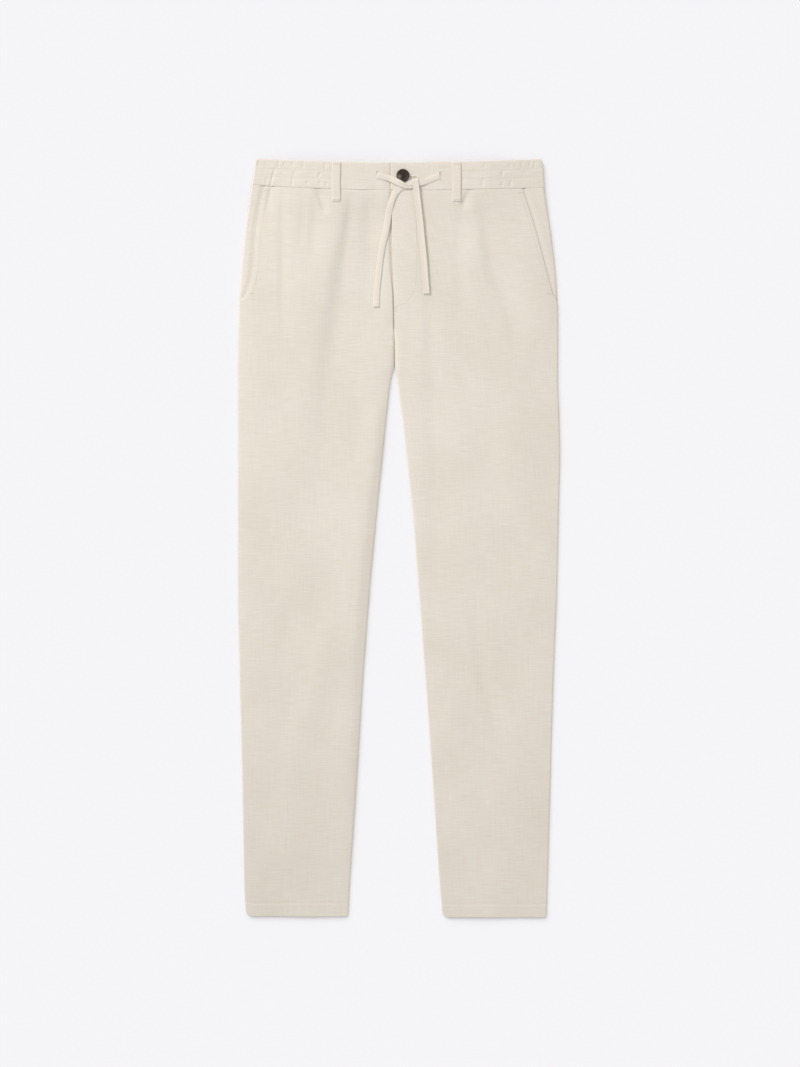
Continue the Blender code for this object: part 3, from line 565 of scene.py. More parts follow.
FRONT_CREASES = [
    # right front: the deep fold from the waistband down the thigh, with the ridge beside it
    [Bend(-114, 10, 0, 26, 44), Bend(-106, 80, -0.9, 26, 46), Bend(-101, 140, -1.6, 26, 50),
     Bend(-101, 200, -2.2, 24, 54), Bend(-96, 250, -2.6, 22, 56), Bend(-84, 305, -3.2, 22, 56),
     Bend(-80, 350, -3.5, 17, 56), Bend(-77, 383, -3.8, 14.5, 52), Bend(-72, 436, -3.2, 9.5, 44),
     Bend(-69, 467, -2.3, 7.5, 34), Bend(-67, 494, -0.1, 7, 22)],
    [Bend(-130, 60, 0, 36, 14), Bend(-122, 200, 0.7, 38, 14), Bend(-112, 300, 0.9, 38, 14),
     Bend(-104, 380, 0.9, 36, 13), Bend(-98, 440, 0.5, 30, 12), Bend(-95, 480, 0, 26, 12)],
    [Bend(-168, 275, 0, 5, 9), Bend(-167, 330, -0.6, 4.5, 9), Bend(-167, 400, -0.85, 4.2, 9),
     Bend(-167, 450, -0.8, 4.2, 9), Bend(-167, 488, -0.2, 4, 8)],
    [Bend(-104, 460, 0, 4, 8), Bend(-109, 474, -2.0, 3.4, 8), Bend(-114, 486, -1.9, 3.0, 7),
     Bend(-120, 497, -0.6, 3.0, 6)],
    [Bend(-184, 454, 0, 4, 6), Bend(-187, 470, -0.9, 3.6, 6), Bend(-185, 484, -1.1, 3.6, 6),
     Bend(-182, 497, -0.8, 3.6, 6)],
    [Bend(-123, 392, 0, 8, 12), Bend(-121, 435, -1.2, 7, 12), Bend(-120, 474, -0.9, 6, 10),
     Bend(-120, 494, 0, 6, 9)],
    [Bend(-139, 410, 0, 7, 9), Bend(-137, 455, -0.7, 5.5, 9), Bend(-134, 490, -0.1, 5, 8)],
    [Bend(-38, 270, 0, 22, 26), Bend(-38, 330, -1.4, 22, 26), Bend(-38, 383, -2.5, 20, 26),
     Bend(-39, 430, -2.3, 15, 26), Bend(-42, 462, -2.0, 11, 26), Bend(-44, 490, -0.2, 8, 18)],
    [Bend(-6.3, 238, -0.5, 1.7, 3), Bend(-6.3, 262, -1.6, 1.5, 3), Bend(-6.4, 286, -1.6, 1.5, 3),
     Bend(-6.6, 304, 0, 1.7, 3)],
    [Bend(-6.0, 246, 0, 9, 5), Bend(-6.0, 270, -0.8, 11, 6), Bend(-6.2, 292, -0.4, 11, 6),
     Bend(-6.4, 310, 0, 9, 5)],
    [Bend(-62, -500, 0, 24, 9), Bend(-69, -430, 0.9, 26, 10), Bend(-67, -200, 1.7, 28, 11),
     Bend(-54, -20, 1.8, 28, 11), Bend(-38, 110, 1.6, 26, 10), Bend(-26, 215, 0, 20, 9)],
    [Bend(-58, 66, 0, 13, 17), Bend(-57, 130, -0.6, 13, 17), Bend(-57, 172, -0.6, 13, 17),
     Bend(-58, 208, 0, 12, 15)],
    [Bend(-157, -180, 0, 12, 15), Bend(-156, -130, -0.6, 12, 15), Bend(-155, -85, 0, 12, 15)],
    [Bend(-178, -445, 0, 17, 24), Bend(-166, -390, 0.8, 17, 24), Bend(-140, -290, 1.2, 17, 26),
     Bend(-113, -180, 1.2, 16, 24), Bend(-99, -112, 0.6, 15, 22), Bend(-92, -68, 0, 14, 20)],
    # left front
    [Bend(167, 258, 0, 11, 24), Bend(164, 300, -1.0, 11, 26), Bend(150, 345, -1.6, 10, 26),
     Bend(135, 380, -1.9, 10, 26), Bend(128, 425, -1.9, 9, 24), Bend(121, 462, -1.2, 9, 22),
     Bend(116, 493, 0, 8, 18)],
    [Bend(124, 290, 0, 26, 14), Bend(114, 370, 0.5, 26, 14), Bend(107, 430, 0.3, 24, 13),
     Bend(102, 482, 0, 20, 12)],
    [Bend(94, 280, 0, 8, 14), Bend(88, 340, -0.5, 8, 15), Bend(85, 411, -0.7, 8, 15),
     Bend(92, 476, -0.4, 8, 14), Bend(94, 492, 0, 8, 12)],
    [Bend(89, 467, 0, 3.4, 7), Bend(93, 481, -1.6, 3.2, 7), Bend(99, 496, -0.7, 3.0, 6)],
    [Bend(46, -212, 0, 16, 20), Bend(50, -60, -0.8, 16, 24), Bend(54, 80, -1.0, 16, 24),
     Bend(52, 170, -1.3, 15, 23), Bend(50, 233, -1.3, 13, 22), Bend(46, 290, -1.1, 9, 18),
     Bend(43, 335, -0.8, 7, 14), Bend(41, 366, 0, 7, 12)],
    [Bend(165, -10, 0, 30, 36), Bend(170, 80, 0.8, 30, 36), Bend(170, 160, 1.0, 28, 34),
     Bend(166, 240, 0.5, 26, 30), Bend(162, 275, 0, 24, 28)],
    [Bend(151, -332, 0, 9, 15), Bend(146, -298, -0.5, 8, 15), Bend(135, -262, -0.9, 8, 15),
     Bend(122, -210, -1.0, 8, 15), Bend(108, -112, -0.6, 9, 16), Bend(102, -66, 0, 9, 15)],
    [Bend(148, -505, 0, 26, 30), Bend(152, -440, 1.0, 26, 30), Bend(150, -370, 1.2, 24, 30),
     Bend(141, -320, 0.5, 20, 26), Bend(136, -295, 0, 18, 24)],
]  # fmt: skip
# Slow swells of the cloth: height, direction in degrees, wavelength and phase.
SWELLS = [(0.22, 12, 84, 0.4), (0.2, 101, 131, 2.1), (0.16, 58, 63, 4.4), (0.14, 149, 97, 1.3)]
SWELLS_END = 50.0  # they fade out over this distance below the waist seam


def side_share(x):
    """0 over the middle of the waist and 1 at its sides, where the pair is thinner."""
    return ease_between(WAIST_THINS, np.abs(x - WAIST_MIDDLE))


def front_height(x, y):
    """How much higher the front lies at a point than at its edges."""
    rise = smooth([(p.y, p.rise) for p in PUFF], y)
    below = 1 - ease((y - CROTCH + FALL_ENDS) / (2 * FALL_ENDS))
    kept = np.ones_like(rise)
    for (edge, side), (fall, width) in EDGE_FALL.items():
        near = np.abs(x - smooth(EDGES[edge, side], y))
        leg = ease(side * (x - smooth(EDGES["inner", side], y)) / FALL_REACH + 1)
        share = below if edge == "inner" else 1.0
        kept = kept - fall * np.exp(-near / width) * share * leg
    near_waist = ease_between((RISE_TURNS_FROM, WAIST_SEAM), y)
    rise = rise * (kept * (1 - near_waist) + (1 - side_share(x)) * near_waist)
    for swell, turn, length, phase in SWELLS:
        across = x * math.cos(math.radians(turn)) + y * math.sin(math.radians(turn))
        rise += swell * np.sin(across * 2 * math.pi / length + phase) * ease((WAIST_SEAM - y) / SWELLS_END)
    return rise + creased(FRONT_CREASES, x, y)


def mouth_run(side, y):
    """How far round from the side seam the pocket mouth is."""
    if y < POCKET_END:
        return 0.0
    radius, _ = tube(y, CLOTH)
    mouth = smooth(column(MOUTH, SIDE_NAME[side]), y)
    inward = max(abs(edge_x("outer", side, y) - mouth) - CLOTH / 2, 0.0)
    if inward < radius:
        return radius * math.acos(1 - inward / radius)
    return inward - radius + radius * math.pi / 2


FRONT_YS = spaced(
    (0.0, 0.9), (24.0, 0.9), (34.0, FRONT_GRAIN), (820.0, FRONT_GRAIN), (832.0, 1.6), (838.0, 0.8),
    (866.0, 0.8), (880.0, 2.0), (1000.0, 2.0), (1030.0, 1.1), (1038.0, 0.8),
)  # fmt: skip
FRONT_FINE = np.array([
    GAP / 2, 0.7, 1.2, 1.7, 2.2, 2.7, 3.2, 3.7, 4.2, 4.8, 5.4, 6.2, 7.0, 8.0, 9.5, 12.0,
])  # fmt: skip
fronts = {}
for side in (LEFT, RIGHT):
    ys = HEM[side] + FRONT_YS / FRONT_YS[-1] * (WAIST_SEAM - HEM[side])

    def inner_shift(y):
        lapped = ease_between((FLY_LAPS_FROM, FLY_END), y) if side == RIGHT else 0.0
        return FLY_LAP * lapped + side * GAP / 2 * (1 - lapped)

    middle, level = panel(side, ys, 1, FRONT_GRAIN, FRONT_FINE, lambda y: mouth_run(side, y), inner_shift)
    x, y, z = middle[..., 0], middle[..., 1], middle[..., 2]
    z += (front_height(x, y) + hem_relief(side, y)) * level**2
    if side == RIGHT:
        sag = FLY_SAG * (1 - (1 - FLY_SAG_KEPT) * ease_between(FLY_SAG_FADES, y))
        sinks = (STEP + sag) * ease_between(FLY_SINKS, y)
        lies_out = x - smooth(EDGES["inner", RIGHT], y)
        steep = FLY_STEEP[0] + (FLY_STEEP[1] - FLY_STEEP[0]) * ease_between(FLY_STEEP_EASES, y)
        soft_part = FLY_SOFT_SHARE * ease(lies_out / FLY_DIP + 1)
        steep_part = (1 - FLY_SOFT_SHARE) * ease((lies_out + FLY_FOOT) / steep + 1)
        z -= sinks * (soft_part + steep_part)
    z -= SEAM_SINK[0] * np.exp(-(((WAIST_SEAM - y) / SEAM_SINK[1]) ** 2))
    near_rims = sum(np.exp(-((away / RIM_THIN[1]) ** 2)) for away in (WAIST_SEAM - y, y - HEM[side]))
    thin = RIM_THIN[0] * near_rims
    z += thin / 2 * level
    middle[..., 1] = bent(x, y) - np.where(y >= WAIST_SEAM, GAP / 2, 0.0)
    wall = CLOTH - thin
    from_mouth = np.linalg.norm(middle - middle[:, :1], axis=2)
    wall -= MOUTH_THIN[0] * np.exp(-((from_mouth / MOUTH_THIN[1]) ** 2)) * (ys[:, None] > POCKET_OPENS)
    if side == LEFT:
        from_fly = np.linalg.norm(middle - middle[:, -1:], axis=2)
        wall -= FLY_THIN[0] * np.exp(-((from_fly / FLY_THIN[1]) ** 2)) * (ys[:, None] > FLY_END)
    front = shell(f"front_{SIDE_NAME[side]}", middle, wall, linen)
    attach(front, "root")
    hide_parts(f"front_panel_{SIDE_NAME[side]}")
    fronts[side] = front

# ---------------------------------------------------------------- fly
# A shield of the same linen stands behind the fly, under both fronts. The left front is topstitched
# to its facing with one J-shaped row that runs down from the waistband and turns in to the seam.
SHIELD = (2.4, 36.0)  # from the right front's edge to its own, measured from the centre front
SHIELD_FROM = 345.0
SHIELD_WALL = 0.7
SHIELD_CLEAR = 0.2
SHIELD_SHORT = 0.5  # it ends this far below the waist seam
SHIELD_GRAIN = 4.0
SHIELD_COLUMNS = 12
SHIELD_YS = spaced((SHIELD_FROM, SHIELD_GRAIN), (WAIST_SEAM - SHIELD_SHORT, SHIELD_GRAIN))
J_STITCH = [
    (25.0, 496.0), (25.0, 450.0), (25.0, 414.0), (25.0, 390.0), (24.8, 375.0), (23.0, 361.0), (17.8, 348.0),
    (8.6, 337.0), (-0.7, 333.0), (-5.0, 332.2),
]  # fmt: skip
CURVE_STEP = 2.0  # from one point to the next on a curved row of stitches
STITCH = (2.7, 3.5)  # length of a stitch, and from one to the next
SHORTEST = 0.8  # a row ends where less than this share of a stitch is left of it
LEEWAY = 1e-6  # so that rounding doesn't take the last stitch from a row
THREAD_RADIUS = 0.28
THREAD_SIDES = 6
# The rings of points along a stitch: how far along it, how high over the cloth in thread radii, and
# how thick as a share.
Ring = namedtuple("Ring", "along lift size")
RINGS = [
    Ring(0.0, -1.0, 0.4),
    Ring(0.15, 0.3, 0.9),
    Ring(0.5, 0.6, 1.0),
    Ring(0.85, 0.3, 0.9),
    Ring(1.0, -1.0, 0.4),
]
FLY_TACK_AT = (-4.6, 328.0)
FLY_TACK = (1.9, 9.0)
TACK_PITCH = 0.6  # from one line of a bar tack to the next
TACK_SLANT = 0.2  # how far each line leans
TACK = (1.9, 9.0)  # a stitch as long as a line, and a step so long that each line has only one
CLEAR_OF_ALL = 50.0  # a height over the whole pair

# Spun polyester sewing thread, dyed to the cloth: finer and a little glossier than the linen.
SPUN_PLY = 0.455  # millimetres along a turn of its plies
SPUN_RELIEF = 0.05  # how far they stand out

sewing_thread, tree, shader = new_material("spun_sewing_thread")
shader.inputs["Base Color"].default_value = linear("#EDE5D8")
place = add_node(tree, "TexCoord")
plies = add_node(tree, "TexNoise", [("Vector", place.outputs["Object"]), ("Scale", 1 / (SPUN_PLY * MM))])
sockets = [("Value", plies.outputs["Fac"]), ("To Min", 0.5), ("To Max", 0.75)]
sheen = add_node(tree, "MapRange", sockets)
tree.links.new(sheen.outputs["Result"], shader.inputs["Roughness"])
bump = add_node(tree, "Bump", [("Height", plies.outputs["Fac"]), ("Distance", SPUN_RELIEF * MM)])
tree.links.new(bump.outputs["Normal"], shader.inputs["Normal"])


def curve(points, step):
    """Rows close together on a smooth curve through the given ones, which begin with x and y."""
    points = np.array(points, float)
    points = np.concatenate([2 * points[:1] - points[1:2], points, 2 * points[-1:] - points[-2:-1]])
    found = []
    for a, b, c, d in zip(points, points[1:], points[2:], points[3:]):
        count = max(2, round(np.linalg.norm((c - b)[:2]) / step))
        t = np.arange(count)[:, None] / count
        square = (2 * a - 5 * b + 4 * c - d) * t**2
        cube = (3 * b - a - 3 * c + d) * t**3
        found.append((2 * b + (c - a) * t + square + cube) / 2)
    return np.concatenate([*found, points[-2:-1]])


def skin(*pieces):
    """The faces of some pieces, to find heights on."""
    points, faces = [], []
    for piece in pieces:
        first = len(points)
        points.extend(v.co / MM for v in piece.data.vertices)
        faces.extend([first + k for k in face.vertices] for face in piece.data.polygons)
    return BVHTree.FromPolygons(points, faces)


def surface(cloth, x, y, up=1):
    """Height of the cloth's outermost face at a place, seen from above (up = 1) or below (-1)."""
    hit = cloth.ray_cast(Vector((x, y, up * CLEAR_OF_ALL)), Vector((0.0, 0.0, -up)))[0]
    return 0.0 if hit is None else hit.z


def face_outward(mesh):
    """Turns the faces of a closed mesh to look out of it."""
    turned = bmesh.new()
    turned.from_mesh(mesh)
    bmesh.ops.recalc_face_normals(turned, faces=turned.faces)
    turned.to_mesh(mesh)
    turned.free()


def sew(name, lines, cloth, thread, up=1, stitch=STITCH, radius=THREAD_RADIUS):
    """Rows of stitches along lines of (x, y) points. Both ends of a stitch go into the cloth."""
    points, faces = [], []
    for line in lines:
        line = np.array(line, float)
        at = np.concatenate([[0.0], np.cumsum(np.linalg.norm(np.diff(line, axis=0), axis=1))])
        for start in np.arange(0.0, at[-1] - SHORTEST * stitch[0] + LEEWAY, stitch[1]):
            places = [start + ring.along * stitch[0] for ring in RINGS]
            xs, ys = (np.interp(places, at, line[:, k]) for k in (0, 1))
            aside = Vector((ys[-1] - ys[0], xs[0] - xs[-1], 0.0)).normalized()
            first = len(points)
            for x, y, ring in zip(xs, ys, RINGS):
                z = surface(cloth, x, y, up) + up * ring.lift * radius
                for k in range(THREAD_SIDES):
                    turn = k * 2 * math.pi / THREAD_SIDES
                    away = aside * math.cos(turn) + Vector((0.0, 0.0, up * math.sin(turn)))
                    points.append((Vector((x, y, z)) + away * radius * ring.size) * MM)
            last = len(points) - THREAD_SIDES
            for here in range(first, last, THREAD_SIDES):
                beyond = here + THREAD_SIDES
                for k in range(THREAD_SIDES):
                    after = (k + 1) % THREAD_SIDES
                    faces.append((here + k, here + after, beyond + after, beyond + k))
            faces.append(tuple(range(first, first + THREAD_SIDES)))
            faces.append(tuple(range(last, last + THREAD_SIDES)))
    mesh = bpy.data.meshes.new(name)
    mesh.from_pydata(points, [], faces)
    face_outward(mesh)
    mesh.shade_smooth()
    mesh.materials.append(thread)
    piece = bpy.data.objects.new(name, mesh)
    scene.collection.objects.link(piece)
    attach(piece, "root")
    return piece


rows = []
for y in SHIELD_YS:
    x = smooth(EDGES["inner", LEFT], y) + np.linspace(*SHIELD, SHIELD_COLUMNS)
    under_lap = height_of("top", y) + front_height(x, np.full_like(x, y)) - STEP - FLY_SAG - CLOTH
    back_top = height_of("bed", y) + CLOTH
    z = np.maximum(under_lap - SHIELD_CLEAR, back_top + SHIELD_CLEAR + SHIELD_WALL) - SHIELD_WALL / 2
    rows.append(np.stack([x, np.full_like(x, y), z], 1))
middle = np.array(rows)
shield = shell("fly_shield_cloth", middle, SHIELD_WALL, linen, inside_z=0.0)
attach(shield, "root")
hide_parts("fly_shield")


def bar_tack(x, y, size):
    """Lines of close stitches that bind the end of a seam. size is the (width, height) they cover."""
    width, height = size
    count = round(max(width, height) / TACK_PITCH)
    lines = []
    for k in range(count + 1):
        share = k / count - 0.5
        if width > height:
            at = x + share * width
            lines.append([(at, y - height / 2), (at + TACK_SLANT, y + height / 2)])
        else:
            at = y + share * height
            lines.append([(x - width / 2, at), (x + width / 2, at + TACK_SLANT)])
    return lines


front_skins = {side: skin(fronts[side]) for side in (LEFT, RIGHT)}
sew("fly_topstitch", [curve(J_STITCH, CURVE_STEP)], front_skins[LEFT], sewing_thread)
sew("fly_bar_tack", bar_tack(*FLY_TACK_AT, FLY_TACK), front_skins[LEFT], sewing_thread, stitch=TACK)

# ---------------------------------------------------------------- hand pockets
# Each mouth is a slanted cut in the front, faced and topstitched 6 mm in. The strip of linen that
# shows in it is sewn into the side seam and carries on under the front.
POCKET_LAP = 15.0  # how far the facing runs under the front
POCKET_DIP = 9.0  # width over which it sinks to get there
POCKET_CLEAR = 1.2  # how far outside the mouth it has sunk
POCKET_LAST = (0.35, 4.0)  # what is left of that, and the width over which it sinks inside the mouth
POCKET_STITCH_IN = 6.2  # from the mouth's edge to the topstitching
POCKET_STITCH_UP = 12.0  # and from the mouth's lower end to the first of it
LOWER_TACK = (6.5, 1.9)
UPPER_TACK = (7.0, 1.9)
UPPER_TACK_IN = 3.0  # from the last stitch, outward and down
TIGHT_THREAD = 0.2  # radius of the thread where the tacks pull it tight
FACING_COLUMNS = (12, 7, 6)  # outside the dip, in the dip and under the front
FACING_YS = spaced((POCKET_END + 1.5, 2.0), (440.0, 2.6), (WAIST_SEAM, 1.2))
for side in (LEFT, RIGHT):
    rows = []
    for y in FACING_YS:
        radius, centre = tube(y, CLOTH)
        outer = edge_x("outer", side, y) - side * CLOTH / 2
        mouth = mouth_run(side, y)
        dip_from = max(mouth - POCKET_DIP, GAP)
        run = np.concatenate([
            np.linspace(GAP / 2, dip_from, FACING_COLUMNS[0]),
            np.linspace(dip_from, mouth, FACING_COLUMNS[1])[1:],
            mouth + np.linspace(0, POCKET_LAP, FACING_COLUMNS[2])[1:],
        ])  # fmt: skip
        turn = np.minimum(run / radius, math.pi / 2)
        out, level = rolled(turn)
        x = outer - side * (radius * (1 - out) + np.maximum(run - radius * math.pi / 2, 0.0))
        sunk = (STEP - POCKET_LAST[0]) * ease((run - mouth + POCKET_DIP) / (POCKET_DIP - POCKET_CLEAR))
        sunk += POCKET_LAST[0] * ease((run - mouth) / POCKET_LAST[1])
        z = centre + radius * level + front_height(x, np.full_like(x, y)) * level**2 - level * sunk
        x = x - side * np.cos(turn) * sunk
        rows.append(np.stack([x, np.full_like(x, y), z], 1))
    middle = np.array(rows)
    x, y = middle[..., 0], middle[..., 1]
    middle[..., 1] = bent(x, y) - np.where(y >= WAIST_SEAM, GAP / 2, 0.0)
    facing = shell(f"pocket_facing_cloth_{SIDE_NAME[side]}", middle, CLOTH, linen)
    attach(facing, "root")
    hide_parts(f"pocket_facing_{SIDE_NAME[side]}")
    row = []
    for y in np.arange(POCKET_END + POCKET_STITCH_UP, WAIST_SEAM - 1, 4.0):
        x = smooth(column(MOUTH, SIDE_NAME[side]), y) - side * POCKET_STITCH_IN
        row.append((x, float(bent(x, y))))
    cloth = front_skins[side]
    sew(f"pocket_topstitch_{SIDE_NAME[side]}", [curve(row, CURVE_STEP)], cloth, sewing_thread)
    x, y = row[-1]
    tacks = bar_tack(*row[0], LOWER_TACK) + bar_tack(x + side * UPPER_TACK_IN, y - UPPER_TACK_IN, UPPER_TACK)
    name = f"pocket_bar_tacks_{SIDE_NAME[side]}"
    sew(name, tacks, cloth, sewing_thread, stitch=TACK, radius=TIGHT_THREAD)

# ---------------------------------------------------------------- hems
# The leg ends are turned up 20 mm and held by one row of stitches, which pulls the cloth in a
# little and unevenly.
HEM_STITCH_IN = 2.5  # from the leg's edges to the ends of the row
HEM_STITCH_POINTS = 40
HEM_WAVER = (0.25, 11.0)  # how far the row strays up and down, and how slowly it does

back_skins = {}
for side in (LEFT, RIGHT):
    back_skins[side] = skin(bpy.data.objects[f"back_{SIDE_NAME[side]}"])
    y = HEM[side] + HEM_DEEP
    ends = [edge_x(edge, side, y) for edge in ("inner", "outer")]
    xs = np.linspace(ends[0] + side * HEM_STITCH_IN, ends[1] - side * HEM_STITCH_IN, HEM_STITCH_POINTS)
    row = np.stack([xs, y + HEM_WAVER[0] * np.sin(xs / HEM_WAVER[1])], 1)
    sew(f"front_hem_stitches_{SIDE_NAME[side]}", [row], front_skins[side], sewing_thread)
    sew(f"back_hem_stitches_{SIDE_NAME[side]}", [row], back_skins[side], sewing_thread, up=-1)

# ---------------------------------------------------------------- waistband
# Two plain front sections, interlined, lap at the centre front. From the belt loops round the
# sides to the centre back the band is gathered on elastic, held by two rows of stitching.
BAND = 1.8  # a wall of the waistband, with interlining or elastic
BAND_STEP = BAND + GAP
WAIST_TOP = 536.0
TOP_RISE = 5.0
BAND_HEIGHT = 8.4  # top of the waistband above the floor
SIDE_HEIGHT = 5.5  # and at the sides
SIDE_TOP = WAIST_TOP + TOP_RISE
BAND_THIN = (1.0, 0.04)  # how much thinner it is at the waist seam, and how far up as a share
ELASTIC_FROM = {RIGHT: -94.0, LEFT: 89.0}
BAND_LAP_EDGE = -10.7  # free end of the left band, on top
BAND_LAP_END = 36.0  # end of the right band, underneath
BAND_DIP = 15.0  # width over which the right band sinks half of the way under the left one
BAND_STEEP = (3.0, 2.4)  # the other half begins this far before the left one's end, and is so wide
BAND_ROLL = (0.35, 0.05)  # how far the top edge rolls down, and the share of the height that does
# Soft waves along the front sections: height, length of one radian, shift and slant.
BAND_WAVES = [(0.14, 9.1, 1.3, 1.0), (0.1, 4.7, 0.0, 3.0)]
EYELET_AT = {RIGHT: (-30.8, 518.6), LEFT: (58.8, 517.4)}
EYELET = (0.5, 10.4)  # width and height
BUTTONHOLE = (14.0, 515.3, 20.0, 0.5)  # centre, length and width
# The gathered channels between the edges and the rows of stitching, as shares of the band's height.
CHANNELS = [(0.0, 0.385), (0.385, 0.69), (0.69, 1.0)]
CHANNEL_ARCH = (0.3, 0.6)  # how far a channel stands out, and how square its section is
# The sharpest puckers of each channel from the bottom up, as distances from the front belt loop.
PUCKERS = {
    RIGHT: [(9.8, 19.0, 36.9, 58.3, 95.4), (19.0, 55.5, 84.0), (1.3, 11.8, 42.6, 57.6, 69.8, 78.3, 106.8)],
    LEFT: [(29.7, 57.8, 69.6), (57.8,), (32.0, 67.8, 76.7, 85.3, 97.6, 103.8)],
}
SHARP = {"depth": (0.6, 1.1), "width": (0.9, 1.3)}
# Others are placed at random: faint and wide between the listed ones, and plain past FRONT_SHOWN.
FRONT_SHOWN = 118.0
Spread = namedtuple("Spread", "depth more_depth width more_width")
FAINT = Spread(-0.2, 0.5, 2.0, 4.0)
PLAIN = Spread(0.3, 0.8, 1.0, 1.4)
PUCKER_SEED = 40
FIRST_PUCKER = (4, 15)
PUCKER_STEPS = (7.0, 11.0, 16.0, 22.0)
STEP_VARIES = (0.7, 1.3)
PUCKERS_APART = 5.0  # none of them is closer than this to another
PUCKER_FOOT = (-0.1, 0.25)  # where in its channel a pucker begins
PUCKER_HEAD = (0.7, 1.2)  # where it ends
PUCKER_LEANS = (-2.5, 2.5)
PUCKER_FADES = 0.25
PUCKER_EAST = 2.2  # how much wider it is on its east (+X)
SLANT = (89.5, -9.0, 1.0, 1.3)  # a crease by the right side: its foot, how far it leans, depth and width
SLANT_FADES = (0.55, 0.2)  # the share of the band's height where it ends, and over what share it fades
ELASTIC_SETTLES = 3.0  # how far from the front belt loop the gathers are at their full depth
GATHERS_PRESSED = 0.5  # the share of their depth that is left round the side and behind
ELASTIC_COLUMNS = (100, 12, 124)  # in front, round the side and behind
ELASTIC_LIES = 1.15  # the band's underside is this high at least, over the belt loops behind
ELASTIC_STITCH = (2.4, 3.1)
ROW_STARTS = {"front": 1.5, "back": 2.0}  # from the front belt loop, and from the centre back
ROW_ENDS = 4.5  # from the side
ROW_POINTS = 80
ROW_WAVER = (0.2, 7.0)  # how far a row strays up and down, and how slowly it does


def band_y(x, share):
    """Height across the waistband, from the waist seam (0) to its top edge (1)."""
    low = WAIST_SEAM + seam_rise(x) + GAP / 2
    high = WAIST_TOP + TOP_RISE * (x / SIDE_X) ** 2
    return low + (high - low) * share


def cut_slot(piece, x, y, width, height):
    """Cuts a slot through the front of the waistband."""
    block = bmesh.new()
    bmesh.ops.create_cube(block, size=1.0)
    bmesh.ops.scale(block, vec=Vector((width, height, 3 * BAND)) * MM, verts=block.verts)
    bmesh.ops.translate(block, vec=Vector((x, y, BAND_HEIGHT - BAND / 2)) * MM, verts=block.verts)
    cutter = bpy.data.objects.new("slot_cutter", bpy.data.meshes.new("slot_cutter"))
    block.to_mesh(cutter.data)
    block.free()
    scene.collection.objects.link(cutter)
    modifier = piece.modifiers.new("slot", "BOOLEAN")
    modifier.operation = "DIFFERENCE"
    modifier.object = cutter
    bpy.context.view_layer.update()
    cut = bpy.data.meshes.new_from_object(piece.evaluated_get(bpy.context.evaluated_depsgraph_get()))
    piece.modifiers.clear()
    piece.data = cut
    bpy.data.objects.remove(cutter)


BAND_SHARES = np.concatenate([[0.0, 0.02, 0.05], np.linspace(0.09, 0.93, 24), [0.96, 0.985, 1.0]])
BAND_GRAIN = 1.5
BAND_END_GRAIN = 6.0  # the columns are closer than that over this distance from the belt loop
bands = {}
for side in (LEFT, RIGHT):
    joins = ELASTIC_FROM[side] - side * GAP / 2
    ends = BAND_LAP_EDGE if side == LEFT else BAND_LAP_END
    opens_to = joins + np.sign(ends - joins) * BAND_END_GRAIN
    xs = spaced((joins, 1.0), (opens_to, BAND_GRAIN), (ends, BAND_GRAIN * 0.6))
    x, share = np.meshgrid(xs, BAND_SHARES)
    y = band_y(x, share)
    z = np.full_like(x, BAND_HEIGHT - BAND / 2)
    if side == RIGHT:
        past = x - BAND_LAP_EDGE
        soft = ease(past / BAND_DIP + 1)
        steep = ease((past + BAND_STEEP[0]) / BAND_STEEP[1])
        z -= BAND_STEP * (0.5 * soft + 0.5 * steep)
    z -= BAND_ROLL[0] * np.exp(-(((share - 1) / BAND_ROLL[1]) ** 2))
    z += sum(high * np.sin(x / long + shift + slant * share) for high, long, shift, slant in BAND_WAVES)
    thin = BAND_THIN[0] * np.exp(-((share / BAND_THIN[1]) ** 2))
    middle = np.stack([x, y, z + thin / 2], -1)
    band = shell(f"waistband_{SIDE_NAME[side]}_front", middle, BAND - thin, linen)
    cut_slot(band, *EYELET_AT[side], *EYELET)
    if side == LEFT:
        cut_slot(band, *BUTTONHOLE)
    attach(band, "root")
    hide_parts(f"waistband_front_{SIDE_NAME[side]}")
    bands[side] = band


def gathers(side, run, share):
    """How far the gathered band stands out: soft channels between the rows, puckered unevenly."""
    out = np.zeros_like(run)
    uneven = random.Random(PUCKER_SEED + side)
    for channel, (low, high) in enumerate(CHANNELS):
        inside = np.clip((share - low) / (high - low), 0.0, 1.0)
        arch = np.sin(math.pi * inside) ** CHANNEL_ARCH[1]
        out += CHANNEL_ARCH[0] * arch
        puckers = [
            (place, uneven.uniform(*SHARP["depth"]), uneven.uniform(*SHARP["width"]))
            for place in PUCKERS[side][channel]
        ]
        place = uneven.uniform(*FIRST_PUCKER)
        while place < run.max():
            if all(abs(place - other) > PUCKERS_APART for other, _, _ in puckers):
                deep, wide = uneven.random(), uneven.random()
                kind = PLAIN if place > FRONT_SHOWN else FAINT
                depth, width = kind.depth + kind.more_depth * deep, kind.width + kind.more_width * wide
                puckers.append((place, depth, width))
            place += uneven.choice(PUCKER_STEPS) * uneven.uniform(*STEP_VARIES)
        for place, depth, width in puckers:
            foot, head = uneven.uniform(*PUCKER_FOOT), uneven.uniform(*PUCKER_HEAD)
            leans = uneven.uniform(*PUCKER_LEANS)
            away = run - place - leans * (inside - 0.5)
            length = ease((inside - foot) / PUCKER_FADES) * ease((head - inside) / PUCKER_FADES)
            wide = np.where(away * side < 0, width, PUCKER_EAST * width)
            out -= depth * arch * length * np.exp(-((away / wide) ** 2)) * (share >= low) * (share <= high)
    if side == RIGHT:
        place, lean, depth, width = SLANT
        line = np.exp(-(((run - place - lean * share) / width) ** 2))
        out -= depth * line * ease((SLANT_FADES[0] - share) / SLANT_FADES[1])
    return out


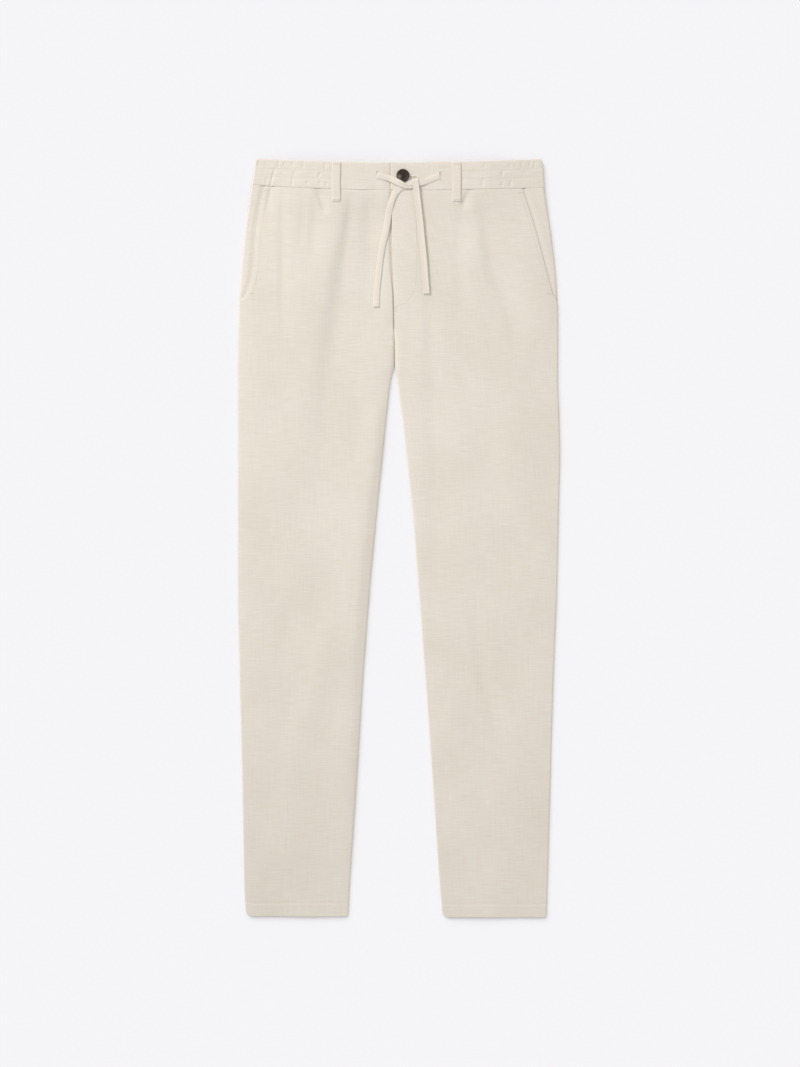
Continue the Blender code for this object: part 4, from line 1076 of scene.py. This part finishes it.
elastics = {}
for side in (LEFT, RIGHT):
    centre_back = edge_x("inner", side, WAIST_SEAM) + side * GAP / 2
    joins = ELASTIC_FROM[side] + side * GAP / 2
    rows = []
    for share in BAND_SHARES:
        y_nominal = WAIST_SEAM + (SIDE_TOP - WAIST_SEAM) * share
        radius, centre = tube(y_nominal, BAND, SIDE_HEIGHT)
        outer = edge_x("outer", side, y_nominal) - side * BAND / 2
        turns = outer - side * radius
        reach = radius * math.pi
        front_run = abs(turns - joins)
        run = np.concatenate([
            np.linspace(0, front_run, ELASTIC_COLUMNS[0])[:-1],
            front_run + np.linspace(0, reach, ELASTIC_COLUMNS[1])[:-1],
            front_run + reach + np.linspace(0, abs(turns - centre_back), ELASTIC_COLUMNS[2]),
        ])  # fmt: skip
        turn = np.clip((run - front_run) / radius, 0.0, math.pi)
        past = np.maximum(run - front_run - reach, 0.0)
        up_to, out = rolled(turn)
        x = joins + side * (np.minimum(run, front_run) + radius * out - past)
        z = centre + radius * up_to
        z += (BAND_HEIGHT - SIDE_HEIGHT) * np.where(run < front_run, 1 - side_share(x), 0.0)
        stands = gathers(side, run, np.full_like(run, share)) * ease(run / ELASTIC_SETTLES)
        x = x + side * np.sin(turn) * stands * GATHERS_PRESSED
        z = z + np.cos(turn) * stands * np.where(turn > math.pi / 2, GATHERS_PRESSED, 1.0)
        thin = BAND_THIN[0] * math.exp(-((share / BAND_THIN[1]) ** 2))
        z += np.where(turn < math.pi / 2, thin / 2, 0.0)
        rows.append(np.stack([x, band_y(x, share), z], 1))
    middle = np.array(rows)
    middle[..., 2] = np.maximum(middle[..., 2], BAND / 2 + ELASTIC_LIES)
    walls = BAND - BAND_THIN[0] * np.exp(-((BAND_SHARES[:, None] / BAND_THIN[1]) ** 2)) * (turn < math.pi / 2)
    elastic = shell(f"waistband_{SIDE_NAME[side]}_elastic", middle, walls, linen)
    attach(elastic, "root")
    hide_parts(f"waistband_elastic_{SIDE_NAME[side]}")
    elastics[side] = elastic

band_skins = {side: skin(bands[side]) for side in (LEFT, RIGHT)}
elastic_skins = {side: skin(elastics[side]) for side in (LEFT, RIGHT)}
for side in (LEFT, RIGHT):
    out_to = edge_x("outer", side, SIDE_TOP) - side * ROW_ENDS
    centre_back = edge_x("inner", side, WAIST_SEAM)
    for face, up, joins in (("front", 1, ELASTIC_FROM[side]), ("back", -1, centre_back)):
        xs = np.linspace(joins + side * ROW_STARTS[face], out_to, ROW_POINTS)
        rows = []
        for k in (1, 2):
            strays = ROW_WAVER[0] * np.sin(xs / ROW_WAVER[1] + k)
            rows.append(np.stack([xs, band_y(xs, CHANNELS[k][0]) + strays], 1))
        name = f"elastic_stitches_{face}_{SIDE_NAME[side]}"
        sew(name, rows, elastic_skins[side], sewing_thread, up=up, stitch=ELASTIC_STITCH)

WORKED = (1.4, 9.0)  # a stitch as long as a line, and only one on each
WORKED_THREAD = 0.3  # its radius
WORKED_PITCH = 0.62  # from one stitch to the next
WORKED_SIDES = (0.05, 1.45)  # from a slit's long edge to the near and the far end of a stitch
WORKED_ENDS = (0.1, 1.5)  # the same at the ends of a slit
WORKED_FAN = (0.6, 0.9)  # the three stitches there are so far apart, at their near and far ends


def worked_edges(x, y, width, height):
    """Lines of close stitches out from both sides and ends of a slit, as round a buttonhole."""
    long, wide = max(width, height), min(width, height)
    lines = []
    for k in range(round(long / WORKED_PITCH) + 1):
        along = -long / 2 + k * WORKED_PITCH
        for way in (-1, 1):
            lines.append([(way * (wide / 2 + out), along) for out in WORKED_SIDES])
    for way in (-1, 1):
        for k in (-1, 0, 1):
            lines.append([(k * fan, way * (long / 2 + out)) for fan, out in zip(WORKED_FAN, WORKED_ENDS)])
    if width > height:
        lines = [[(along, across) for across, along in line] for line in lines]
    return [[(x + across, y + along) for across, along in line] for line in lines]


for side in (LEFT, RIGHT):
    lines = worked_edges(*EYELET_AT[side], *EYELET)
    name = f"eyelet_stitches_{SIDE_NAME[side]}"
    sew(name, lines, band_skins[side], sewing_thread, stitch=WORKED, radius=WORKED_THREAD)
lines = worked_edges(*BUTTONHOLE)
name = "buttonhole_stitches"
sew(name, lines, band_skins[LEFT], sewing_thread, stitch=WORKED, radius=WORKED_THREAD)

# ---------------------------------------------------------------- belt loops
# Five loops of folded linen, 12 mm wide, are tacked down at both ends: two in front, standing a
# little off the waistband, and three behind that are pressed flat by the weight of the pair.
LOOP_X = {RIGHT: -89.5, LEFT: 82.5}
LOOP_WIDTH = 12.0
LOOP_WALL = 0.8
LOOP_FOOT = 480.7
LOOP_HEAD = 0.5  # below the top edge of the waistband
LOOP_BOW = (0.2, 0.7)  # how far a loop stands off the band, and how square its bow is
LOOP_CLEAR = 0.1
LOOP_CLIMBS = (9.0, 8.0)  # it begins to climb so far below the waist seam, and over this distance
LOOP_RESTS = (-5.5, 0.0, 5.5)  # across a loop: where it rests on the front
LOOP_RIB = (0.12, 0.62, 0.16)  # the rib over its folded edges: height, and place and width as shares
LOOP_SIDES = 0.3  # how far its sides are pressed down
LOOP_LEAN = 0.03  # how much it rises to the east, as a slope
LOOP_WAVER = (0.25, 9.0)  # how far it strays sideways, and how slowly it does
LOOP_ENDS = (0.45, 1.5)  # how much thinner its ends are, as a share, and over what length
LOOP_TACK = (9.0, 1.7)
LOOP_TACKS_IN = (2.4, 2.2)  # from its foot and its head to the middle of a tack
BACK_LOOP_WALL = 1.0
BACK_LOOP_CROWN = 0.3  # the share of rib and pressed sides that it keeps under the pair
BACK_LOOP_LIES = 0.02  # above the board
BACK_TACKS_IN = (2.4, 3.7)  # from its foot and from the band's top edge
PRESSED_THREAD = 0.15  # radius of the thread behind, which the board presses in
BACK_LOOP_X = {"right": -105.0, "centre": -8.0, "left": 105.0}
LOOP_SHARES = np.concatenate([
    np.linspace(0.0, 0.1, 8), np.linspace(0.12, 0.9, 34), np.linspace(0.92, 1.0, 7),
])  # fmt: skip
LOOP_ACROSS = np.array([-6.0, -5.6, -5.0, -4.2, -3.0, -1.5, 0.0, 1.5, 3.0, 4.2, 5.0, 5.6, 6.0])


def loop_ys(x):
    """Places up a belt loop, from its foot to its head."""
    return LOOP_FOOT + (band_y(x, 1.0) - LOOP_HEAD - LOOP_FOOT) * LOOP_SHARES


def belt_loop(name, x, wall, heights, node):
    """A loop whose middle line has the given heights. Its folded sides are pressed down."""
    ys = loop_ys(x)
    across, y = np.meshgrid(LOOP_ACROSS, ys)
    sides = np.abs(across / (LOOP_WIDTH / 2))
    high, place, wide = LOOP_RIB
    crown = high * np.exp(-(((sides - place) / wide) ** 2)) - LOOP_SIDES * sides**6
    if heights.min() > INSIDE_Z:  # it is in front
        z = heights[:, None] + crown + LOOP_LEAN * across
    else:
        z = heights[:, None] + crown * BACK_LOOP_CROWN
    middle = np.stack([x + across + LOOP_WAVER[0] * np.sin(y / LOOP_WAVER[1] + x), y, z], -1)
    from_end = np.minimum(y - y.min(), y.max() - y)
    wall = wall * (1 - LOOP_ENDS[0] * np.exp(-((from_end / LOOP_ENDS[1]) ** 2)))
    loop = shell(name, middle, wall, linen)
    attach(loop, "root")
    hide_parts(node)
    return loop


for side in (LEFT, RIGHT):
    x = LOOP_X[side]
    ys = loop_ys(x)
    low = np.array([max(surface(front_skins[side], x + dx, y) for dx in LOOP_RESTS) for y in ys])
    climbs = ease((ys - WAIST_SEAM + LOOP_CLIMBS[0]) / LOOP_CLIMBS[1])
    heights = low * (1 - climbs) + (BAND_HEIGHT + LOOP_CLEAR) * climbs + LOOP_CLEAR + LOOP_WALL / 2
    heights = heights + LOOP_BOW[0] * np.sin(math.pi * LOOP_SHARES) ** LOOP_BOW[1]
    node = f"belt_loop_front_{SIDE_NAME[side]}"
    below = [f"front_{SIDE_NAME[side]}"]
    loop = belt_loop(f"belt_loop_{SIDE_NAME[side]}", x, LOOP_WALL, heights, node)
    foot, head = ys[0] + LOOP_TACKS_IN[0], ys[-1] - LOOP_TACKS_IN[1]
    lines = bar_tack(x, foot, LOOP_TACK) + bar_tack(x, head, LOOP_TACK)
    sew(f"belt_loop_tacks_{SIDE_NAME[side]}", lines, skin(loop), sewing_thread, stitch=TACK)
for place, x in BACK_LOOP_X.items():
    heights = np.full(len(LOOP_SHARES), BACK_LOOP_WALL / 2 + BACK_LOOP_LIES)
    node = f"belt_loop_back_{place}"
    loop = belt_loop(f"{node}_cloth", x, BACK_LOOP_WALL, heights, node)
    foot, head = LOOP_FOOT + BACK_TACKS_IN[0], band_y(x, 1.0) - BACK_TACKS_IN[1]
    lines = bar_tack(x, foot, LOOP_TACK) + bar_tack(x, head, LOOP_TACK)
    name = f"belt_loop_back_tacks_{place}"
    sew(name, lines, skin(loop), sewing_thread, up=-1, stitch=TACK, radius=PRESSED_THREAD)

# ---------------------------------------------------------------- button
# A trouser button of dark polished resin, 18.5 mm across, with a raised rim, a dished middle and
# four holes. It is sewn to the right band and comes up through the buttonhole of the left one.
BUTTON_AT = (5.9, 517.3)
BUTTON_RADIUS = 9.25
BUTTON_FACE = 1.72  # height of the middle of its dished face
BUTTON_PROFILE = [  # radius and height, from the middle of the underside to the middle of the face
    (0.0, 0.0), (7.2, 0.0), (8.2, 0.25), (8.85, 0.75), (9.18, 1.35), (BUTTON_RADIUS, 1.8), (9.12, 2.2),
    (8.8, 2.5), (8.3, 2.6), (7.8, 2.52), (7.3, 2.34), (6.8, 2.14), (6.2, 1.98), (5.4, 1.88), (4.0, 1.79),
    (2.0, 1.74), (0.0, BUTTON_FACE),
]  # fmt: skip
BUTTON_STEPS = 72
BUTTON_HOLE = 1.0
BUTTON_HOLE_STEP = 2.1  # from the middle to a hole, along x and along y
BUTTON_TURN = 2.0  # degrees that the holes are turned
DRILL_STEPS = 20
DRILL_LENGTH = 9.0
SHARP_EDGE = 50.0  # degrees between two faces that meet in a sharp edge

# Polyester resin cast to look like dark horn: nearly black brown, faintly clouded, with a painted
# highlight (a paler patch painted at one side) and a satin face that takes a soft highlight.
CLOUD = 3.85  # millimetres across a cloud of the resin
PAINTED_HIGHLIGHT_AT = (-5.4, -1.6, 1.8)  # middle of the painted highlight, from the button's own middle
PAINTED_HIGHLIGHT_RADIUS = 4.6

resin, tree, shader = new_material("cast_resin")
place = add_node(tree, "TexCoord")
sockets = [("Vector", place.outputs["Object"]), ("Scale", 1 / (CLOUD * MM)), ("Detail", 4.0)]
clouds = add_node(tree, "TexNoise", sockets)
sockets = [(0, clouds.outputs["Fac"]), (6, linear("#1D140D")), (7, linear("#3D2F24"))]
horn_with_painted_highlight = add_node(tree, "Mix", sockets, data_type="RGBA")
# A painted highlight: a sphere of paler colour mixed in at one side, standing in for the glow of light on the
# button.
sockets = [
    ("Vector", place.outputs["Object"]), ("Scale", (1 / (PAINTED_HIGHLIGHT_RADIUS * MM),) * 3),
    ("Location", tuple(-at / PAINTED_HIGHLIGHT_RADIUS for at in PAINTED_HIGHLIGHT_AT)),
]  # fmt: skip
moved = add_node(tree, "Mapping", sockets)
painted_highlight = add_node(tree, "TexGradient", [("Vector", moved.outputs["Vector"])], gradient_type="SPHERICAL")
sockets = [(0, painted_highlight.outputs["Fac"]), (6, horn_with_painted_highlight.outputs[2]), (7, linear("#83766A"))]
horn_with_painted_highlight = add_node(tree, "Mix", sockets, data_type="RGBA")
tree.links.new(horn_with_painted_highlight.outputs[2], shader.inputs["Base Color"])
polish = add_node(tree, "MapRange", [("Value", clouds.outputs["Fac"]), ("To Min", 0.42), ("To Max", 0.58)])
tree.links.new(polish.outputs["Result"], shader.inputs["Roughness"])
shader.inputs["Specular IOR Level"].default_value = 0.35

turns = [2 * math.pi * k / BUTTON_STEPS for k in range(BUTTON_STEPS)]
points = [
    Vector((radius * math.cos(turn), radius * math.sin(turn), z)) * MM
    for radius, z in BUTTON_PROFILE[1:-1]
    for turn in turns
]
last = len(points) - BUTTON_STEPS
under, over = len(points), len(points) + 1
points += [Vector((0.0, 0.0, z)) * MM for _, z in (BUTTON_PROFILE[0], BUTTON_PROFILE[-1])]
faces = []
for k in range(BUTTON_STEPS):
    after = (k + 1) % BUTTON_STEPS
    faces.append((under, after, k))
    faces.append((over, last + k, last + after))
    for here in range(0, last, BUTTON_STEPS):
        beyond = here + BUTTON_STEPS
        faces.append((here + k, here + after, beyond + after, beyond + k))
button = bpy.data.objects.new("resin_button", bpy.data.meshes.new("resin_button"))
button.data.from_pydata(points, [], faces)
holes = []
for quarter in range(4):
    turn = math.radians(BUTTON_TURN + 45 + 90 * quarter)
    reach = BUTTON_HOLE_STEP * math.sqrt(2)
    holes.append(Vector((reach * math.cos(turn), reach * math.sin(turn), 0.0)))
drills = bmesh.new()
for hole in holes:
    drill = bmesh.ops.create_cone(
        drills, cap_ends=True, segments=DRILL_STEPS, radius1=BUTTON_HOLE * MM, radius2=BUTTON_HOLE * MM,
        depth=DRILL_LENGTH * MM,
    )  # fmt: skip
    bmesh.ops.translate(drills, vec=hole * MM, verts=drill["verts"])
drill = bpy.data.objects.new("drill", bpy.data.meshes.new("drill"))
drills.to_mesh(drill.data)
drills.free()
for piece in (button, drill):
    scene.collection.objects.link(piece)
modifier = button.modifiers.new("holes", "BOOLEAN")
modifier.operation = "DIFFERENCE"
modifier.object = drill
bpy.context.view_layer.update()
drilled = bpy.data.meshes.new_from_object(button.evaluated_get(bpy.context.evaluated_depsgraph_get()))
button.modifiers.clear()
button.data = drilled
bpy.data.objects.remove(drill)
drilled.materials.clear()
drilled.materials.append(resin)
drilled.shade_smooth()
drilled.set_sharp_from_angle(angle=math.radians(SHARP_EDGE))
button.location = Vector((*BUTTON_AT, BAND_HEIGHT + GAP)) * MM
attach(button, "root")
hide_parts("button")

# Dark polyester thread through the four holes and down to the band: dull, and close to black.
DARK_PLY = 0.385  # millimetres along a turn of its plies
STRANDS_APART = 0.32  # from the middle of a pair of holes to each of its two strands
STRAND_RADIUS = 0.3
STRAND_SIDES = 8
# A strand from hole to hole: how much of the way it has gone, and its height over the dished face.
STRAND = [(0.0, -1.6), (0.02, 0.05), (0.15, 0.3), (0.5, 0.38), (0.85, 0.3), (0.98, 0.05), (1.0, -1.6)]
SHANK_AT = (5.9, 515.3, 7.5)
SHANK_RADIUS = 0.4
SHANK_LENGTH = 2.4

dark_thread, tree, shader = new_material("dark_button_thread")
shader.inputs["Base Color"].default_value = linear("#2B211C")
place = add_node(tree, "TexCoord")
plies = add_node(tree, "TexNoise", [("Vector", place.outputs["Object"]), ("Scale", 1 / (DARK_PLY * MM))])
dull = add_node(tree, "MapRange", [("Value", plies.outputs["Fac"]), ("To Min", 0.6), ("To Max", 0.85)])
tree.links.new(dull.outputs["Result"], shader.inputs["Roughness"])

strands = bmesh.new()
face = BAND_HEIGHT + GAP + BUTTON_FACE
for first, second in ((holes[0], holes[1]), (holes[3], holes[2])):
    for way in (-1, 1):
        run = second - first
        beside = Vector((-run.y, run.x, 0.0)).normalized() * way
        path = []
        for share, up in STRAND:
            path.append(first + run * share + beside * STRANDS_APART + Vector((*BUTTON_AT, face + up)))
        rings = []
        for k, at in enumerate(path):
            along = (path[min(k + 1, len(path) - 1)] - path[max(k - 1, 0)]).normalized()
            over = along.cross(beside).normalized()
            ring = []
            for corner in range(STRAND_SIDES):
                turn = corner * 2 * math.pi / STRAND_SIDES
                away = beside * math.cos(turn) + over * math.sin(turn)
                ring.append(strands.verts.new((at + away * STRAND_RADIUS) * MM))
            rings.append(ring)
        for low, high in zip(rings, rings[1:]):
            for k in range(STRAND_SIDES):
                after = (k + 1) % STRAND_SIDES
                strands.faces.new((low[k], low[after], high[after], high[k]))
        strands.faces.new(rings[0][::-1])
        strands.faces.new(rings[-1])
shank = bmesh.ops.create_cone(
    strands, cap_ends=True, segments=DRILL_STEPS, radius1=SHANK_RADIUS * MM, radius2=SHANK_RADIUS * MM,
    depth=SHANK_LENGTH * MM,
)  # fmt: skip
bmesh.ops.translate(strands, vec=Vector(SHANK_AT) * MM, verts=shank["verts"])
bmesh.ops.recalc_face_normals(strands, faces=strands.faces)
threads = bpy.data.objects.new("button_threads", bpy.data.meshes.new("button_threads"))
strands.to_mesh(threads.data)
strands.free()
threads.data.shade_smooth()
threads.data.materials.append(dark_thread)
scene.collection.objects.link(threads)
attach(threads, "root")
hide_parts("button_thread")

# ---------------------------------------------------------------- drawstring
# Two ends of one flat cotton tape come out of the eyelets, cross in a loose half knot under the
# button and hang down over the fronts. Both are turned under and stitched at the tip.
TAPE = 9.0
TAPE_WALL = 0.85
TAPE_SHARES = np.array([-1.0, -0.97, -0.88, -0.7, -0.45, -0.2, 0.0, 0.2, 0.45, 0.7, 0.88, 0.97, 1.0])
TAPE_SQUARE = (0.85, 8)  # how far its selvedges thin, and how square its section is
TAPE_STEP = 0.8  # from one row of points to the next
TAPE_CLEAR = 0.12  # above the cloth
TAPE_RESTS = (-4.5, -2.2, 0.0, 2.2, 4.5)  # across the tape: where it rests on the fronts
TAPE_STARTS = 8  # rows that it takes to leave an eyelet
TAPE_KEEPS = 0.35  # how much of its sideways direction a row takes over from the row before
TIP_TURNED = 7.0  # how much of a tip is doubled
TIP_THICKER = 0.5  # by this share
TIP_STEP = 0.8  # over this length
TIP_ROW = (3.9, 1.6)  # half the length of the row of stitches, and how far it is from the doubled edge
TIP_STITCH = (1.7, 2.2)
TIP_THREAD = 0.22
TWILL_PITCH = 1.1  # from one line of the herringbone to the next
TWILL_RELIEF = 0.15
FUZZ = 1.11  # millimetres across a paler or darker spot

# Bleached cotton tape woven in a fine herringbone: paler and closer than the linen, matt.
tape_cotton, tree, shader = new_material("herringbone_cotton_tape")
place = add_node(tree, "UVMap", uv_map="threads")
parts = add_node(tree, "SeparateXYZ", [("Vector", place.outputs["UV"])])
mirror = add_node(tree, "Math", [(0, parts.outputs["X"])], operation="ABSOLUTE")
chevron = add_node(tree, "CombineXYZ", [("X", mirror.outputs[0]), ("Y", parts.outputs["Y"])])
twill = add_node(tree, "TexWave", [
    ("Vector", chevron.outputs["Vector"]), ("Scale", WAVE_PERIOD / (TWILL_PITCH * MM)), ("Distortion", 0.0),
], bands_direction="DIAGONAL")  # fmt: skip
sockets = [("Vector", place.outputs["UV"]), ("Scale", 1 / (FUZZ * MM)), ("Detail", 2.0)]
fuzz = add_node(tree, "TexNoise", sockets)
sockets = [(0, fuzz.outputs["Fac"]), (6, linear("#E2D8CA")), (7, linear("#EDE4D8"))]
cotton = add_node(tree, "Mix", sockets, data_type="RGBA")
tree.links.new(cotton.outputs[2], shader.inputs["Base Color"])
sockets = [("Height", twill.outputs["Fac"]), ("Strength", 0.5), ("Distance", TWILL_RELIEF * MM)]
bump = add_node(tree, "Bump", sockets)
tree.links.new(bump.outputs["Normal"], shader.inputs["Normal"])
matt = add_node(tree, "MapRange", [("Value", fuzz.outputs["Fac"]), ("To Min", 0.75), ("To Max", 0.95)])
tree.links.new(matt.outputs["Result"], shader.inputs["Roughness"])
shader.inputs["Specular IOR Level"].default_value = 0.25

# A place of the tape's middle. The tilt is in degrees, wide is a share of its width, and cup is how
# far its selvedges stand up from its middle.
Lie = namedtuple("Lie", "x y z tilt wide cup")


def on_front(x, y, off, tilt, cup):
    """A place of the tape where it hangs over a front or rests on it."""
    highest = max(surface(front_skins[side], x + dx, y) for dx in TAPE_RESTS for side in (LEFT, RIGHT))
    return Lie(x, y, highest + TAPE_CLEAR + TAPE_WALL / 2 + off, tilt, 1.0, cup)


# From the wearer's right eyelet over the button's lower edge, behind the other end, up and over it.
OVER = [
    Lie(-30.8, 517.6, 7.2, 0, 0.9, 0), Lie(-30.7, 517.6, 8.5, 0, 0.9, 0),
    Lie(-29.3, 517.4, 9.05, 0, 0.97, -0.35), Lie(-25.0, 516.6, 9.05, 0, 1, -0.35),
    Lie(-20.6, 515.6, 9.05, 0, 1, -0.35), Lie(-12.4, 513.1, 9.1, 0, 1, -0.35),
    Lie(-7.5, 510.9, 9.6, -3, 1, 0.1), Lie(-2.9, 508.4, 10.5, -8, 1, 0),
    Lie(2.2, 505.7, 11.0, -10, 0.98, 0), Lie(6.7, 503.3, 10.8, -9, 0.85, 0.1),
    Lie(10.5, 501.7, 10.3, -6, 0.65, 0.2), Lie(14.0, 501.0, 9.7, -3, 0.48, 0.3),
    Lie(17.5, 501.0, 9.2, 0, 0.42, 0.3), Lie(20.3, 502.2, 9.0, 0, 0.5, -0.35),
    Lie(21.8, 504.6, 9.0, 0, 0.75, -0.35), Lie(22.3, 507.4, 9.0, 0, 0.95, -0.35),
    Lie(22.6, 510.2, 9.05, 0, 1, -0.35), Lie(22.8, 511.9, 9.4, 0, 1, 0), Lie(22.9, 512.4, 10.1, 0, 1, 0),
    Lie(23.0, 511.8, 10.8, 0, 1, 0), Lie(23.4, 509.5, 11.1, 0, 1, -0.1),
    Lie(24.0, 505.8, 11.05, -2, 1, -0.2), Lie(24.5, 501.5, 10.9, -4, 1, -0.3),
    Lie(25.1, 497.0, 10.5, -5, 1, -0.4),
]  # fmt: skip
for x, y, off in (
    (25.6, 491.0, 1.4), (26.6, 483.0, 1.4), (28.1, 470.0, 1.4), (30.0, 455.0, 1.4), (31.6, 438.0, 1.4),
    (33.6, 418.0, 1.3), (35.6, 398.0, 1.2), (37.4, 376.0, 0.9), (38.7, 360.0, 0.5), (39.5, 349.0, 0.2),
):  # fmt: skip
    OVER.append(on_front(x, y, off, -5.0, -0.5))
# From the wearer's left eyelet between the two layers of the other end.
UNDER = [
    Lie(58.8, 516.6, 7.2, 0, 0.9, 0), Lie(58.7, 516.6, 8.5, 0, 0.9, 0),
    Lie(57.3, 516.3, 9.05, 0, 0.97, -0.35), Lie(53.0, 515.0, 9.05, 0, 1, -0.35),
    Lie(47.8, 513.1, 9.05, 0, 1, -0.35), Lie(41.0, 510.4, 9.1, 0, 1, -0.35),
    Lie(34.5, 508.3, 9.5, 0, 1, 0.1), Lie(29.0, 507.3, 9.95, 0, 1, 0),
    Lie(23.1, 507.1, 10.05, 0, 0.95, 0), Lie(18.0, 506.9, 9.9, 0, 0.85, 0),
    Lie(14.0, 506.0, 9.5, 0, 0.8, 0), Lie(10.0, 504.3, 9.15, 0, 0.9, 0),
    Lie(6.0, 502.2, 9.05, 0, 1, -0.35), Lie(1.3, 499.0, 9.0, 0, 1, -0.35),
    Lie(-2.8, 495.7, 8.9, 0, 1, 0.2),
]  # fmt: skip
for x, y, off in (
    (-6.0, 491.6, 0.5), (-8.6, 485.5, 0.4), (-11.6, 477.0, 0.3), (-14.8, 461.4, 0.2), (-16.8, 448.0, 0.2),
    (-20.6, 430.0, 0.15), (-24.5, 412.5, 0.15), (-27.2, 394.0, 0.15), (-29.0, 377.0, 0.15),
    (-31.2, 356.0, 0.1), (-31.9, 342.0, 0.0), (-32.0, 330.5, 0.0),
):  # fmt: skip
    UNDER.append(on_front(x, y, off, -4.0, -0.4))


def flat_tape(name, lies):
    """A tape along the given places, level across unless tilted, and the line down its middle."""
    rows = curve([(lie.x, lie.y, lie.z, lie.tilt, lie.wide, lie.cup) for lie in lies], TAPE_STEP)
    line = rows[:, :3]
    along = np.gradient(line, axis=0)
    along /= np.linalg.norm(along, axis=1, keepdims=True)
    gone = np.concatenate([[0.0], np.cumsum(np.linalg.norm(np.diff(line, axis=0), axis=1))])
    first = line[TAPE_STARTS] - line[0]
    across = np.array([first[1], -first[0], 0.0]) / math.hypot(first[0], first[1])
    points, flats = [], []
    for (_, _, _, tilt, wide, cup), at, ahead, run in zip(rows, line, along, gone):
        level = np.array([ahead[1], -ahead[0], 0.0])
        across = TAPE_KEEPS * across + level * np.sign(level @ across)
        across -= (across @ ahead) * ahead
        across /= np.linalg.norm(across)
        up = np.cross(across, ahead)
        tilt = math.radians(tilt)
        lean = across * math.cos(tilt) + up * math.sin(tilt)
        rise = up * math.cos(tilt) - across * math.sin(tilt)
        doubled = ease((run - gone[-1] + TIP_TURNED) / TIP_STEP)
        square = np.sqrt(1 - TAPE_SQUARE[0] * np.abs(TAPE_SHARES) ** TAPE_SQUARE[1])
        wall = TAPE_WALL * (1 + TIP_THICKER * doubled) * square
        u = TAPE_SHARES * TAPE / 2 * wide
        arch = cup * TAPE_SHARES**2
        for faced in (1, -1):
            order = slice(None) if faced == 1 else slice(None, None, -1)
            offsets = (arch + faced * wall / 2)[order]
            points.append(at + lean * u[order, None] + rise * offsets[:, None])
            flats.append(np.stack([u[order], np.full_like(u, run)], 1))
    points = np.array(points).reshape(len(rows), -1, 3)
    flats = np.array(flats).reshape(len(rows), -1, 2)
    count = points.shape[1]
    numbers = np.arange(len(rows) * count).reshape(len(rows), count)
    round_on = np.roll(numbers, -1, axis=1)
    quad = np.stack([numbers[:-1], round_on[:-1], round_on[1:], numbers[1:]], -1).reshape(-1, 4)
    mesh = bpy.data.meshes.new(name)
    ends = [numbers[0].tolist(), numbers[-1, ::-1].tolist()]
    mesh.from_pydata((points.reshape(-1, 3) * MM).tolist(), [], quad.tolist() + ends)
    corners = np.zeros(len(mesh.loops), np.int32)
    mesh.loops.foreach_get("vertex_index", corners)
    places = (flats.reshape(-1, 2) * MM)[corners].astype(np.float32)
    mesh.uv_layers.new(name="threads").uv.foreach_set("vector", places.ravel())
    mesh.shade_smooth()
    mesh.materials.append(tape_cotton)
    face_outward(mesh)
    piece = bpy.data.objects.new(name, mesh)
    scene.collection.objects.link(piece)
    return piece, line, gone[-1]


for name, lies, nodes in (
    ("drawstring_over", OVER, ("drawstring_right_run", "drawstring_knot", "drawstring_left_tail")),
    ("drawstring_under", UNDER, ("drawstring_left_run", "drawstring_right_tail")),
):
    tape, line, length = flat_tape(name, lies)
    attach(tape, "root")
    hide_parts(*nodes)
    x, y = line[-1, :2]
    tape_skin = skin(tape)
    half, below = TIP_ROW
    row = [[(x + half, y + TIP_TURNED - below), (x - half, y + TIP_TURNED - below)]]
    tip_name = f"{name}_tip_stitches"
    tip = sew(tip_name, row, tape_skin, sewing_thread, stitch=TIP_STITCH, radius=TIP_THREAD)
